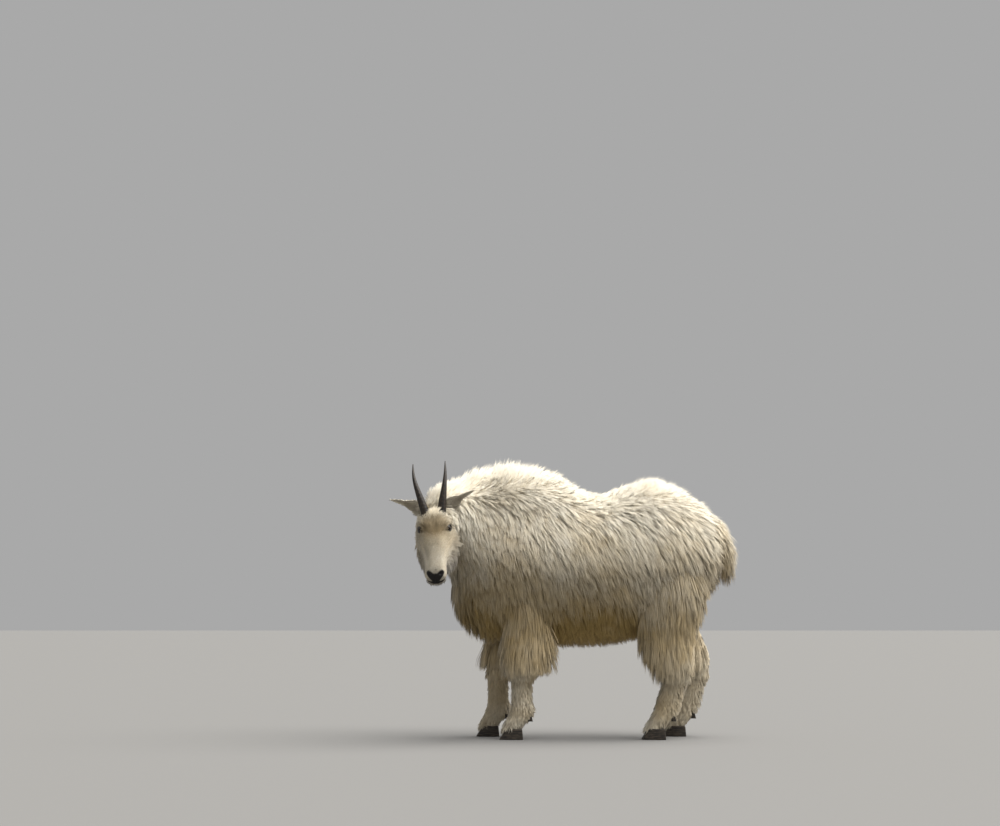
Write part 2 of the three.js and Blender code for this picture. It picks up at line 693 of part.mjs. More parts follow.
// One claw: a wedge with a sloping toe, a flat sole and a rounded outer wall, toe towards -X.
function claw(side) {
  const profile = new THREE.Shape();
  const heel = CLAW.length * 0.42;
  const toe = -CLAW.length * 0.58;
  const topToe = toe + CLAW.toeSlope;
  profile.moveTo(toe + 3, 0);
  profile.quadraticCurveTo(toe, 0, toe + 2, 6);
  profile.lineTo(topToe, CLAW.height);
  profile.lineTo(topToe + CLAW.topLength - 4, CLAW.height);
  profile.quadraticCurveTo(heel + 2, CLAW.height * 0.5, heel, 4);
  profile.quadraticCurveTo(heel, 0, heel - 5, 0);
  profile.closePath();
  const half = CLAW.width / 2;
  const wall = new THREE.ExtrudeGeometry(profile, { depth: CLAW.width, bevelEnabled: false, curveSegments: 2 });
  wall.translate(0, 0, -half).rotateX(Math.PI / 2);
  const plan = new THREE.Shape();
  plan.moveTo(toe - 1, 3);
  plan.quadraticCurveTo(toe + 18, half, toe + 42, half);
  plan.lineTo(heel - 12, half);
  plan.quadraticCurveTo(heel + 4, half, heel + 4, 0);
  plan.quadraticCurveTo(heel + 4, -half, heel - 12, -half);
  plan.lineTo(toe + 30, -half);
  plan.quadraticCurveTo(toe + 4, -half, toe - 1, -3);
  plan.closePath();
  const outline = new THREE.ExtrudeGeometry(plan, { depth: CLAW.height + 20, bevelEnabled: false, curveSegments: 3 });
  outline.translate(0, 0, -10);
  if (side > 0) outline.scale(1, -1, 1);
  const planSolid = side > 0 ? solidOf(flipped(outline)) : solidOf(outline);
  return solidOf(wall).intersect(planSolid);
}

// A mirrored geometry has its faces turned back to point outwards.
function flipped(geometry) {
  const g = geometry.index ? geometry.toNonIndexed() : geometry;
  const p = g.attributes.position;
  for (let i = 0; i < p.count; i += 3) {
    for (let k = 0; k < 3; k++) {
      const swap = p.getComponent(i + 1, k);
      p.setComponent(i + 1, k, p.getComponent(i + 2, k));
      p.setComponent(i + 2, k, swap);
    }
  }
  return g;
}

function dewclaw() {
  const rings = [0, 0.6, 1].map((t) => {
    const r = DEWCLAW.radius * mix(1, 0.42, t * t);
    return angles(6).map((a) => vec(DEWCLAW.length * t, r * Math.cos(a), r * 1.15 * Math.sin(a) - 7 * t * t));
  });
  return loft(rings);
}

const coronetZ = CLAW.height - 6;
for (const leg of LEGS) {
  const centre = leg.footCentre;
  const claws = [];
  for (const side of [-1, 1]) {
    const turn = rad(CLAW.splay * side);
    claws.push(
      claw(side)
        .rotate([0, 0, -CLAW.splay * side])
        .translate([centre.x + 6, centre.y + (side * CLAW.apart) / 2 + turn * 0, 0]),
    );
  }
  addNode(goat, leg.name + "_lower", leg.shin, coatMaterial);
  claws.forEach((solid, i) => {
    const inner = (i === 0) === leg.side > 0;
    addNode(goat, `${leg.name}_claw_${inner ? "inner" : "outer"}`, solid, hornMaterial);
  });
  for (const side of [-1, 1]) {
    const fetlock = leg.lower.find(([z]) => z < 100);
    const shift = leg.side > 0 ? leg.stride : 0;
    const solid = dewclaw()
      .rotate([0, 30, side * 14])
      .translate([fetlock[1] + shift + DEWCLAW.behind - 10, centre.y + (side * DEWCLAW.apart) / 2, DEWCLAW.above])
      .subtract(leg.shinRoom);
    const inner = side < 0 === leg.side > 0;
    addNode(goat, `${leg.name}_dewclaw_${inner ? "inner" : "outer"}`, solid, hornMaterial);
  }
}

// Head, in its own frame.
const headShape = (grow) =>
  limb(
    HEAD.map(([x, top, bottom, half]) => ({
      centre: vec(x, 0, (top + bottom) / 2),
      a: half + grow,
      b: (top - bottom) / 2 + grow,
    })),
    () => [Y, Z],
    headSection,
  );
// Wide at the brow, hollow under it, and narrow along the jaw.
function headSection(angle) {
  const c = Math.cos(angle);
  const s = Math.sin(angle);
  return [Math.sign(c) * Math.abs(c) ** 0.8 * (1 - 0.16 * Math.max(0, -s) ** 2), Math.sign(s) * Math.abs(s) ** 0.92];
}
const skull = loft(ringsOf(headShape(0), 12, 14));
const widerSkull = loft(ringsOf(headShape(GAP), 12, 14));

const headGroup = new THREE.Group();
headGroup.position.set(...HEAD_AT);
headGroup.rotation.copy(headTurn);
goat.add(headGroup);

// Eyes, with upper and lower lids that leave an almond open.
const almond = (side) => {
  const shape = new THREE.Shape();
  const half = EYE.openLength / 2;
  shape.moveTo(-half, 0);
  shape.quadraticCurveTo(0, EYE.openHeight, half, 0);
  shape.quadraticCurveTo(0, -EYE.openHeight, -half, 0);
  const g = new THREE.ExtrudeGeometry(shape, { depth: 40, bevelEnabled: false, curveSegments: 3 });
  g.rotateX(Math.PI / 2);
  if (side > 0) g.rotateZ(Math.PI);
  g.rotateY(rad(EYE.slant) * 1);
  return solidOf(g).translate([EYE.x, side * EYE.y, EYE.z]);
};
const atEye = (solid, side) => solid.translate([EYE.x, side * EYE.y, EYE.z]);
let head = skull;
const beard = [];
for (const side of [-1, 1]) {
  head = head.add(atEye(solidOf(ball(EYE.radius + EYE.lid, 10, 7)), side));
}
for (const side of [-1, 1]) {
  head = head.subtract(atEye(solidOf(ball(EYE.radius + GAP, 10, 7)), side)).subtract(almond(side));
  addNode(headGroup, side > 0 ? "eye_left" : "eye_right", atEye(solidOf(ball(EYE.radius, 10, 7)), side), eyeMaterial);
}

// Beard and cheek whiskers, hanging straight down from the jaw: [place along the head, angle under it, length].
const down = Z.clone().negate().applyQuaternion(new THREE.Quaternion().setFromEuler(headTurn).invert());
const skullShape = headShape(0);
for (const [place, angle, long] of BEARD) {
  const look = {
    lie: down.clone().addScaledVector(X, -0.25),
    length: long,
    width: 34,
    lift: 10,
    cling: 0,
    thick: 11,
    sink: 10,
    stations: BEARD_LOCK,
  };
  for (const side of angle === -90 ? [1] : [1, -1]) {
    const at = side > 0 ? rad(angle) : Math.PI - rad(angle);
    beard.push(lockOn(skullShape, uAt(place), at, look));
  }
}
head = joined([head, ...beard.map((lock) => lock.solid)]);

// Mouth line with rolled lips, and nostrils with raised rims.
const mouthPath = (z) => {
  const shape = headShape(-MOUTH.lipInset);
  const points = [];
  for (const side of [1, -1]) {
    const row = [];
    for (let i = 0; i <= 6; i++) {
      const x = mix(MOUTH.corner, 204, i / 6);
      const u = uAt(x);
      const s = shape.at(u);
      const q = THREE.MathUtils.clamp((z - s.centre.z) / s.b, -0.98, 0.98);
      const angle = Math.asin(Math.sign(q) * Math.abs(q) ** (1 / 0.92));
      row.push(shape.point(u, side > 0 ? angle : Math.PI - angle));
    }
    points.push(...(side > 0 ? row : row.reverse()));
  }
  return points;
};
function uAt(x) {
  const i = HEAD.findIndex((row, k) => k + 1 < HEAD.length && x <= HEAD[k + 1][0]);
  return i + (x - HEAD[i][0]) / (HEAD[i + 1][0] - HEAD[i][0]);
}
for (const lip of [-1, 1]) {
  const path = new THREE.CatmullRomCurve3(mouthPath(MOUTH.z + lip * (MOUTH.lipRadius * 0.75)));
  const section = new THREE.Shape().absarc(0, 0, MOUTH.lipRadius, 0, 2 * Math.PI);
  const roll = new THREE.ExtrudeGeometry(section, { steps: 9, extrudePath: path, curveSegments: 2 });
  head = head.add(solidOf(roll));
}
const nostrilAt = (solid, side) =>
  solid.rotate([side * 28, 20, side * 36]).translate([NOSTRIL.x, side * NOSTRIL.y, NOSTRIL.z]);
for (const side of [-1, 1]) {
  const rim = ball(1, 8, 5).scale(NOSTRIL.length + NOSTRIL.rim, 6, NOSTRIL.height + NOSTRIL.rim);
  head = head.add(nostrilAt(solidOf(rim), side));
}
for (const side of [-1, 1]) {
  const hole = ball(1, 8, 5).scale(NOSTRIL.length, 11, NOSTRIL.height);
  head = head.subtract(nostrilAt(solidOf(hole), side));
}
const slit = box([MOUTH.corner, -60, MOUTH.z - MOUTH.gap / 2], [240, 60, MOUTH.z + MOUTH.gap / 2]);
const tongueCore = loft(ringsOf(headShape(-6), 8, 10)).subtract(box([192, -60, -90], [260, 60, 20]));
head = head.subtract(slit.subtract(tongueCore));

// Horns: black, ringed near the root, bending back towards the tips.
function horn(side, grow = 0) {
  const steps = 11;
  const sides = 8;
  const centre = vec(0, 0, -16);
  const rings = [];
  for (let i = 0; i <= steps; i++) {
    const t = i / steps;
    const tilt = rad(mix(HORN.baseTilt, HORN.tipTilt, t * t * (1.6 - 0.6 * t)));
    const straighter = 1 - THREE.MathUtils.smoothstep(t, 0.45, 0.95);
    const lean = rad((side > 0 ? HORN.spreadLeft : HORN.spreadRight) * straighter);
    const along = vec(-Math.sin(tilt), side * Math.sin(lean), Math.cos(tilt)).normalize();
    const across = vec(0, 0, 0).crossVectors(along, X).normalize();
    const fore = vec(0, 0, 0).crossVectors(across, along);
    const grooves = t < 0.55 ? 1 + 0.045 * Math.cos(2 * Math.PI * t * HORN.rings * 1.8) : 1;
    const r = mix(HORN.radius, HORN.tip, t) * grooves + grow;
    rings.push(
      angles(sides).map((a) =>
        centre
          .clone()
          .addScaledVector(across, r * Math.cos(a))
          .addScaledVector(fore, r * 1.12 * Math.sin(a)),
      ),
    );
    centre.addScaledVector(along, (HORN.length + 16) / steps);
  }
  return loft(rings).translate([HORN.x, side * HORN.y, HORN.z]).subtract(widerSkull);
}
const horns = [-1, 1].map((side) => horn(side));

// Ears: long pointed cups that open forwards and down.
function ear(side) {
  const steps = 8;
  const rise = rad(side > 0 ? EAR.riseLeft : EAR.riseRight);
  const rings = [];
  for (let i = 0; i < steps; i++) {
    const t = i / steps;
    const half = EAR.halfWidth * (0.5 + 0.5 * Math.sin(Math.PI * Math.min(1, t * 1.5 + 0.12))) * (1 - t ** 2.4) ** 0.75;
    const depth = (EAR.depth * half) / EAR.halfWidth;
    const x = -6 * Math.sin(Math.PI * t);
    const outer = [];
    const inner = [];
    for (let k = 0; k <= 4; k++) {
      const w = -1 + k / 2;
      const bowl = 1 - w * w;
      const y = EAR.length * t;
      outer.push(vec(x - depth * bowl, y, half * w));
      inner.push(vec(x - depth * bowl + EAR.wall * (0.35 + 0.65 * bowl), y, half * w * 0.97));
    }
    rings.push([...outer, ...inner.reverse()]);
  }
  const tip = vec(-3, EAR.length, 0);
  const shell = loft(rings, tip).rotate([0, EAR.turn, 0]).rotate([THREE.MathUtils.radToDeg(rise), 0, 12]);
  const placed = side > 0 ? shell : shell.mirror([0, 1, 0]);
  return placed.translate([EAR.x, side * (EAR.y - 8), EAR.z]).subtract(widerSkull);
}
const ears = [-1, 1].map((side) => largest(ear(side).subtract(horn(side, 2 * GAP))));
["right", "left"].forEach((word, i) => {
  addNode(headGroup, "horn_" + word, horns[i], hornMaterial);
  addNode(headGroup, "ear_" + word, ears[i], faceMaterial);
});
head = keepAbove(head, seamNormal.toArray(), seamNormal.dot(seamTop));
addNode(headGroup, "head", head, faceMaterial);

// The neck also keeps clear of the horns and ears.
const beardRoom = joined(beard.map((lock) => lock.room)).subtract(skull);
const headThings = joined([...horns, ...ears].map(roomFor)).add(beardRoom).transform(headFrame.toArray());
nodes.neck = nodes.neck.subtract(headThings);
nodes.chest = nodes.chest.subtract(headThings);
for (const [name, solid] of Object.entries(nodes)) addNode(goat, name, solid, coatMaterial);

// The origin is under the middle of the goat's box, on the ground.
goat.updateMatrixWorld(true);
const bounds = new THREE.Box3().setFromObject(goat, true);
goat.position.set(-(bounds.min.x + bounds.max.x) / 2, -(bounds.min.y + bounds.max.y) / 2, -bounds.min.z);

export default goat;
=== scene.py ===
import math

import bmesh
import bpy
import numpy as np
from mathutils import Euler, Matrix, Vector, kdtree


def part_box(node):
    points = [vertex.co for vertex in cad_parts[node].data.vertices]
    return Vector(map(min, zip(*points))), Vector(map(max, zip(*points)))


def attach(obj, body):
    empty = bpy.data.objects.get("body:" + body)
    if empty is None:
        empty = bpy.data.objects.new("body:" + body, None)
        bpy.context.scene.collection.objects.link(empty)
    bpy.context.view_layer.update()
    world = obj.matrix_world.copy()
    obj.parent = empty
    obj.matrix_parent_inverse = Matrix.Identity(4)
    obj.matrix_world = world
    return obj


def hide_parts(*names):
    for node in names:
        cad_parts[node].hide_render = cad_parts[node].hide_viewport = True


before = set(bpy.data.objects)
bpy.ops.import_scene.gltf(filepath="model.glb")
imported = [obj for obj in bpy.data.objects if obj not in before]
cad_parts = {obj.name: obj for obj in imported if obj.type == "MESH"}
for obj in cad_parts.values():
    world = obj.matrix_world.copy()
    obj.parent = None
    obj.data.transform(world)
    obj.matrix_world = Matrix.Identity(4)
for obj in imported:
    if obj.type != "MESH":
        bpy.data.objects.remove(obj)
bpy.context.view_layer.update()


# Where the goat stands. Its sizes below are in millimetres from a point on the ground under the withers,
# nose towards -X and left side towards -Y. The head has a frame of its own, with +X out along the nose,
# +Y to its left and the origin midway between the eyes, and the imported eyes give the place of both.
MM = 0.001
HEAD_AT = np.array([-525.7, -230.0, 767.0])
HEAD_ROLL, HEAD_PITCH, HEAD_HEADING = 5, 44, -88
EYE_Y, EYE_Z, EYE_RADIUS = 46, 10, 14.5
SIDES = {"left": 1, "right": -1}
head_turn = np.array(
    Euler([math.radians(a) for a in (HEAD_ROLL, HEAD_PITCH, HEAD_HEADING)], "XYZ").to_matrix()
)


def centre_of(node):
    low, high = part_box(node)
    return (np.array(low) + np.array(high)) / 2


def head_to_goat(points):
    return np.asarray(points, float) @ head_turn.T + HEAD_AT


def goat_to_head(points):
    return (np.asarray(points, float) - HEAD_AT) @ head_turn


between_eyes = (centre_of("eye_left") + centre_of("eye_right")) / 2
goat_origin = between_eyes - head_to_goat([[0, 0, EYE_Z]])[0] * MM


def to_metres(points):
    return np.asarray(points, float) * MM + goat_origin


def to_millimetres(points):
    return (points - goat_origin) / MM


# The camera stands low, in front of the goat's left side, as the photographer did, and looks up a little.
CAMERA_AT = (-285, -7400, 450)
CAMERA_TILT = 96
camera_data = bpy.data.cameras.new("camera")
camera_data.lens = 70
camera_data.sensor_width = 36
camera = bpy.data.objects.new("camera", camera_data)
camera.location = to_metres([CAMERA_AT])[0]
camera.rotation_euler = (math.radians(CAMERA_TILT), 0, 0)
bpy.context.collection.objects.link(camera)
bpy.context.scene.camera = camera


# A plain pale floor, and the soft light of an overcast sky: one very broad sun, from above and a little
# behind the goat, that leaves the belly and the insides of the legs in shade, and a dim even surround.
FLOOR_HALF = 60
FLOOR_GREY = (0.20, 0.198, 0.194, 1)
SKY_GREY = (0.64, 0.64, 0.64, 1)
SKY_FILL = 0.62
SUN_FROM = (0.5, 0.0, 1.0)
SUN_WIDTH = math.radians(75)
SUN_POWER = 6.0
SUN_WARM = (1.0, 0.975, 0.93)


def clear_selection():
    bpy.ops.object.select_all(action="DESELECT")


def feed(tree, socket, value):
    """Links another node's output to a socket, or sets the socket's own value."""
    if hasattr(value, "is_output"):
        tree.links.new(value, socket)
    else:
        socket.default_value = value


def put(tree, kind, **values):
    """A shader node. A value goes to the input of that name, or else to the node itself."""
    made = tree.nodes.new(kind)
    for name, value in values.items():
        label = name.replace("_", " ")
        if label in made.inputs:
            feed(tree, made.inputs[label], value)
        else:
            setattr(made, name, value)
    return made


def finish_of(name, **principled):
    """A new material with one Principled BSDF. Returns it, its node tree and the shader."""
    material = bpy.data.materials.new(name)
    material.use_nodes = True
    shader = material.node_tree.nodes["Principled BSDF"]
    for label, value in principled.items():
        shader.inputs[label.replace("_", " ")].default_value = value
    return material, material.node_tree, shader


clear_selection()
bpy.ops.mesh.primitive_plane_add(size=2 * FLOOR_HALF, location=(0, 0, 0))
floor = bpy.context.active_object
floor.name = "floor"
floor.data.materials.append(finish_of("floor_paint", Roughness=0.9, Base_Color=FLOOR_GREY)[0])

sun_data = bpy.data.lights.new("sun", "SUN")
sun_data.angle = SUN_WIDTH
sun_data.energy = SUN_POWER
sun_data.color = SUN_WARM
sun = bpy.data.objects.new("sun", sun_data)
sun.rotation_euler = Vector(SUN_FROM).to_track_quat("Z", "Y").to_euler()
bpy.context.collection.objects.link(sun)

surround = bpy.data.worlds.new("surround")
surround.use_nodes = True
surround.node_tree.nodes["Background"].inputs["Color"].default_value = SKY_GREY
surround.node_tree.nodes["Background"].inputs["Strength"].default_value = SKY_FILL
bpy.context.scene.world = surround
bpy.context.scene.view_settings.view_transform = "Standard"


# The skin is one hide over trunk, neck, legs, tail and head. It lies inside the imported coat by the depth
# of the fur's roots. Each limb is a tube through measured sections, and all are fused to one surface.
# TORSO rows: place along the back, top line, belly line, half width.
TORSO = np.array([
    [-446, 700, 560, 46], [-430, 780, 510, 84], [-398, 872, 462, 122], [-350, 940, 430, 148],
    [-290, 971, 410, 168], [-215, 980, 398, 180], [-140, 973, 393, 186], [-60, 945, 390, 192],
    [20, 915, 389, 197], [95, 908, 394, 198], [175, 926, 408, 192], [255, 940, 433, 184],
    [335, 931, 465, 172], [410, 902, 505, 150], [468, 856, 560, 118], [506, 792, 628, 66],
], float)
# NECK and TAIL rows: centre of the section, half height, half width.
NECK = np.array([
    [-250, 0, 715, 248, 150], [-330, -6, 762, 214, 142], [-402, -28, 802, 172, 122],
    [-462, -72, 826, 126, 100], [-500, -124, 824, 96, 84], [-517, -182, 780, 76, 72],
], float)
TAIL = np.array([
    [470, 0, 800, 40, 44], [510, 0, 782, 36, 38], [545, 0, 738, 30, 33], [562, 0, 690, 25, 28],
    [568, 0, 640, 17, 20],
], float)
# LEG rows, of the left side: height, place along the body, place across it, half length, half width.
FORELEG = np.array([
    [640, -196, -84, 104, 62], [540, -188, -106, 94, 64], [450, -182, -110, 90, 58],
    [370, -180, -108, 82, 53], [300, -184, -104, 68, 47], [232, -206, -100, 41, 38],
    [190, -206, -100, 39, 36], [150, -206, -100, 39, 36], [112, -203, -100, 46, 39],
    [88, -210, -100, 47, 40], [62, -229, -100, 42, 40], [30, -248, -100, 38, 38],
], float)
HINDLEG = np.array([
    [720, 330, -76, 120, 66], [620, 340, -96, 138, 78], [520, 344, -104, 136, 76],
    [440, 344, -106, 120, 66], [370, 352, -106, 99, 57], [310, 368, -106, 74, 49],
    [262, 377, -105, 50, 41], [215, 362, -105, 47, 38], [165, 347, -105, 46, 37],
    [122, 334, -105, 46, 38], [92, 321, -105, 45, 39], [64, 302, -105, 42, 39],
    [30, 279, -105, 39, 38],
], float)
FORE_STRIDE, HIND_STRIDE = -88, 94
STRIDE_FROM = {"foreleg_right": 620, "hindleg_right": 520}
STRIDE_FULL = 250
TRUNK_INSET, SHIN_INSET = 18, 9
SHIN_TOP = 262
BODY_VOXEL = 0.0075
GROUND = np.array([0.0, 0.0, -1.0])


def smooth(value, low, high):
    """0 below low and 1 above high, or the other way round, with an even ramp between them."""
    t = np.clip((np.asarray(value, float) - low) / (high - low), 0, 1)
    return t * t * (3 - 2 * t)


def unit(vectors):
    length = np.linalg.norm(vectors, axis=-1, keepdims=True)
    return vectors / np.maximum(length, 1e-9)


def drawn_through(rows, steps):
    """More rows between the given ones, on a smooth curve through them."""
    rows = np.asarray(rows, float)
    places = np.linspace(0, len(rows) - 1, steps)
    i = np.clip(places.astype(int), 0, len(rows) - 2)
    t = (places - i)[:, None]
    before, here = rows[np.maximum(i - 1, 0)], rows[i]
    after, later = rows[i + 1], rows[np.minimum(i + 2, len(rows) - 1)]
    slope_in, slope_out = (after - before) / 2, (later - here) / 2
    return (
        (2 * t**3 - 3 * t**2 + 1) * here
        + (t**3 - 2 * t**2 + t) * slope_in
        + (-2 * t**3 + 3 * t**2) * after
        + (t**3 - t**2) * slope_out
    )


def around(count):
    return np.linspace(0, 2 * math.pi, count, endpoint=False)


def softened(value, power):
    return np.sign(value) * np.abs(value) ** power


def torso_rings():
    angle = around(48)
    c, s = np.cos(angle), np.sin(angle)
    rings = []
    for x, top, bottom, half in drawn_through(TORSO, 60):
        tall = max((top - bottom) / 2 - TRUNK_INSET, 8)
        wide = max(half - TRUNK_INSET, 8)
        y = softened(c, 0.82) * (1 - 0.24 * np.maximum(s, 0)) * wide
        z = (top + bottom) / 2 + s * tall
        rings.append(np.stack([np.full_like(y, x), y, z], 1))
    return np.array(rings)


def path_axes(rows, steps):
    """A path drawn through rows, with its directions forward, across and up at each step."""
    path = drawn_through(rows, steps)
    forward = unit(np.gradient(path[:, :3], axis=0))
    across = unit(np.cross(forward, [0, 0, 1.0]))
    return path, forward, across, np.cross(across, forward)


def path_rings(rows, steps, inset, count=32):
    """Rings square to a path, for the neck and the tail."""
    path, _, across, up = path_axes(rows, steps)
    centre = path[:, :3]
    angle = around(count)[None, :, None]
    tall = np.maximum(path[:, 3] - inset, 4)[:, None, None]
    wide = np.maximum(path[:, 4] - inset, 4)[:, None, None]
    return (
        centre[:, None]
        + across[:, None] * np.cos(angle) * wide
        + up[:, None] * np.sin(angle) * tall
    )


def leg_line(name, rows, stride):
    """A leg's rows from top to bottom. The right legs are the left ones mirrored and set a step apart."""
    line = drawn_through(rows, 60)
    if name in STRIDE_FROM:
        line[:, 2] = -line[:, 2]
        line[:, 1] += stride * smooth(line[:, 0], STRIDE_FROM[name], STRIDE_FULL)
    return line


def leg_rings(line, count=28):
    angle = around(count)
    inset = SHIN_INSET + (TRUNK_INSET + 6 - SHIN_INSET) * smooth(line[:, 0], SHIN_TOP - 30, 520)
    rings = []
    for (z, x, y, long, wide), into in zip(line, inset):
        rings.append(np.stack([
            x + (long - into) * np.cos(angle),
            y + (wide - into) * np.sin(angle),
            np.full(count, z),
        ], 1))
    return np.array(rings)


LEG_LINES = {}
for fore_or_hind, rows, stride in (("foreleg", FORELEG, FORE_STRIDE), ("hindleg", HINDLEG, HIND_STRIDE)):
    for side in SIDES:
        LEG_LINES[f"{fore_or_hind}_{side}"] = leg_line(f"{fore_or_hind}_{side}", rows, stride)


def mesh_from(name, points, faces):
    mesh = bpy.data.meshes.new(name)
    mesh.from_pydata([tuple(p) for p in points], [], faces)
    mesh.validate()
    piece = bpy.data.objects.new(name, mesh)
    bpy.context.collection.objects.link(piece)
    return piece


def tube(rings):
    """Points and faces of a closed tube over rings of points, with a flat cap at each end."""
    steps, count = rings.shape[:2]
    points = rings.reshape(-1, 3)
    faces = []
    for r in range(steps - 1):
        for k in range(count):
            a, b = r * count + k, r * count + (k + 1) % count
            faces.append((a, b, b + count, a + count))
    faces.append(tuple(range(count))[::-1])
    faces.append(tuple((steps - 1) * count + k for k in range(count)))
    return points, faces


def outward(piece):
    """Merges doubles and turns every face outwards."""
    soft = bmesh.new()
    soft.from_mesh(piece.data)
    bmesh.ops.remove_doubles(soft, verts=soft.verts, dist=1e-6)
    bmesh.ops.recalc_face_normals(soft, faces=soft.faces)
    soft.to_mesh(piece.data)
    soft.free()


def select_only(piece):
    clear_selection()
    piece.select_set(True)
    bpy.context.view_layer.objects.active = piece


def apply_modifier(piece, name, kind, **settings):
    select_only(piece)
    modifier = piece.modifiers.new(name, kind)
    for key, value in settings.items():
        setattr(modifier, key, value)
    bpy.ops.object.modifier_apply(modifier=name)


def joined(name, pieces):
    clear_selection()
    for piece in pieces:
        piece.select_set(True)
    bpy.context.view_layer.objects.active = pieces[0]
    bpy.ops.object.join()
    pieces[0].name = name
    return pieces[0]


def points_of(mesh, what="co"):
    flat = np.empty(len(mesh.vertices) * 3)
    mesh.vertices.foreach_get(what, flat)
    return flat.reshape(-1, 3)


def normals_of(mesh):
    return points_of(mesh, "normal")


limb_rings = [torso_rings(), path_rings(NECK, 24, TRUNK_INSET - 2), path_rings(TAIL, 16, 8, 16)]
limb_rings += [leg_rings(line) for line in LEG_LINES.values()]
limbs = []
for rings in limb_rings:
    limb_points, limb_faces = tube(rings)
    limbs.append(mesh_from("limb", to_metres(limb_points), limb_faces))
    outward(limbs[-1])
skin = joined("skin", limbs)
apply_modifier(skin, "fuse", "REMESH", mode="VOXEL", voxel_size=BODY_VOXEL, adaptivity=0)
apply_modifier(skin, "soften", "SMOOTH", factor=0.5, iterations=18)


# The skull under its short fur: a long wedge with a flat bridge, full cheeks, brows over sunken eyes,
# lids, a bare nose with comma nostrils, and lips that close in a line back to the corner of the mouth.
# HEAD rows, in the head's frame: place along the nose, top, bottom, half width.
HEAD = np.array([
    [-104, 34, -92, 56], [-72, 45, -98, 63], [-36, 48, -101, 68], [0, 41, -98, 66],
    [36, 28, -93, 57], [72, 17, -88, 49], [106, 8, -84, 44], [138, 1, -84, 41],
    [164, -4, -86, 40], [184, -9, -87, 39], [199, -17, -85, 33], [208, -28, -75, 20],
], float)
HEAD_VOXEL = 0.0024
FACE_INSET = 2.5
LID_SLANT = math.radians(-20)
LID_LONG, LID_HIGH = 13.5, 9.0
GAZE = unit(np.array([0.30, 0.93, 0.12]))
NOSTRIL_AT = (197, 19, -30)
MOUTH_CORNER, MOUTH_Z = 118, -60
HORN_ROOT = (-46, 26, 40)


def head_rings():
    angle = around(40)
    c, s = np.cos(angle), np.sin(angle)
    rings = []
    for x, top, bottom, half in drawn_through(HEAD, 44):
        y = softened(c, 0.8) * (1 - 0.16 * np.maximum(-s, 0) ** 2) * (half - FACE_INSET)
        z = (top + bottom) / 2 + softened(s, 0.92) * ((top - bottom) / 2 - FACE_INSET)
        rings.append(np.stack([np.full_like(y, x), y, z], 1))
    return np.array(rings)


def bump_at(points, at, spread):
    """1 at a place and falling off round it, by the given spread along each axis."""
    away = (points - np.asarray(at)) / np.asarray(spread)
    return np.exp(-(away**2).sum(1))


def folded(points):
    """The points with the goat's right side mirrored onto its left."""
    return points * np.array([1, 0, 1]) + np.abs(points) * np.array([0, 1, 0])


def lid_place(points, side):
    """Where points lie round an eye: along the slit, across it, and 1 on the rim of the lids."""
    x, z = points[:, 0], points[:, 2] - EYE_Z
    along = x * math.cos(LID_SLANT) - z * math.sin(LID_SLANT)
    above = x * math.sin(LID_SLANT) + z * math.cos(LID_SLANT)
    ring = np.hypot(along / LID_LONG, above / LID_HIGH)
    ring = np.where(points[:, 1] * side > 22, ring, 9)
    return along, above, ring


def mouth_height(x):
    """The line of the mouth: level from the corner, then dropping to the front of the lips."""
    return MOUTH_Z + 1.5 - 5 * smooth(x, 186, 208)


def shaped_head(points, normals):
    """The plain head with brows, lids, sockets, cheeks, nostrils and lips pushed out or pressed in."""
    moved = points.copy()
    mirrored = folded(points)
    for side in (-1, 1):
        along, above, ring = lid_place(points, side)
        gaze = GAZE * np.array([1, side, 1])
        rim = np.exp(-(((ring - 1.22) / 0.22) ** 2)) * 2.6
        crease = np.exp(-(((ring - 1.75) / 0.2) ** 2)) * (above > 0) * 1.4
        moved += normals * (rim - crease)[:, None]
        moved -= gaze * (smooth(ring, 1.1, 0.8) * 11)[:, None]
        on_side = points[:, 1] * side > 10
        brow = np.exp(-((along / 24) ** 2) - ((above - 19) / 8) ** 2) * on_side * 4.5
        tear = np.exp(-(((along - 24) / 10) ** 2) - ((above + 4) / 6) ** 2) * on_side * 3.0
        moved += normals * (brow - tear)[:, None]
    swell = (
        4.5 * bump_at(mirrored, (-12, 60, -50), (42, 40, 30))
        + 2.6 * bump_at(mirrored, (58, 50, -22), (52, 30, 9))
        - 3.4 * bump_at(mirrored, (112, 34, -14), (36, 22, 12))
        + 3.5 * bump_at(mirrored, HORN_ROOT, (24, 22, 30))
        - 2.4 * bump_at(mirrored, (18, 0, 36), (26, 14, 26))
        + 2.5 * bump_at(mirrored, (182, 30, -50), (20, 20, 12))
        + 2.0 * bump_at(mirrored, (176, 0, -82), (26, 30, 12))
    )
    nostril = bump_at(mirrored, NOSTRIL_AT, (8.5, 6.5, 4.6))
    flare = bump_at(mirrored, (194, 24, -25), (11, 10, 7)) * 2.2
    philtrum = np.exp(-((points[:, 1] / 2.2) ** 2)) * smooth(points[:, 0], 190, 200) * 1.6
    line = np.exp(-(((points[:, 2] - mouth_height(points[:, 0])) / 2.6) ** 2))
    line *= smooth(points[:, 0], MOUTH_CORNER - 4, MOUTH_CORNER + 10)
    lips = np.exp(-(((np.abs(points[:, 2] - mouth_height(points[:, 0])) - 6) / 3.2) ** 2))
    lips *= smooth(points[:, 0], MOUTH_CORNER + 4, MOUTH_CORNER + 40)
    depth = swell + flare - nostril * 8 - philtrum - line * 4.2 + lips * 1.3
    moved += normals * depth[:, None]
    return moved


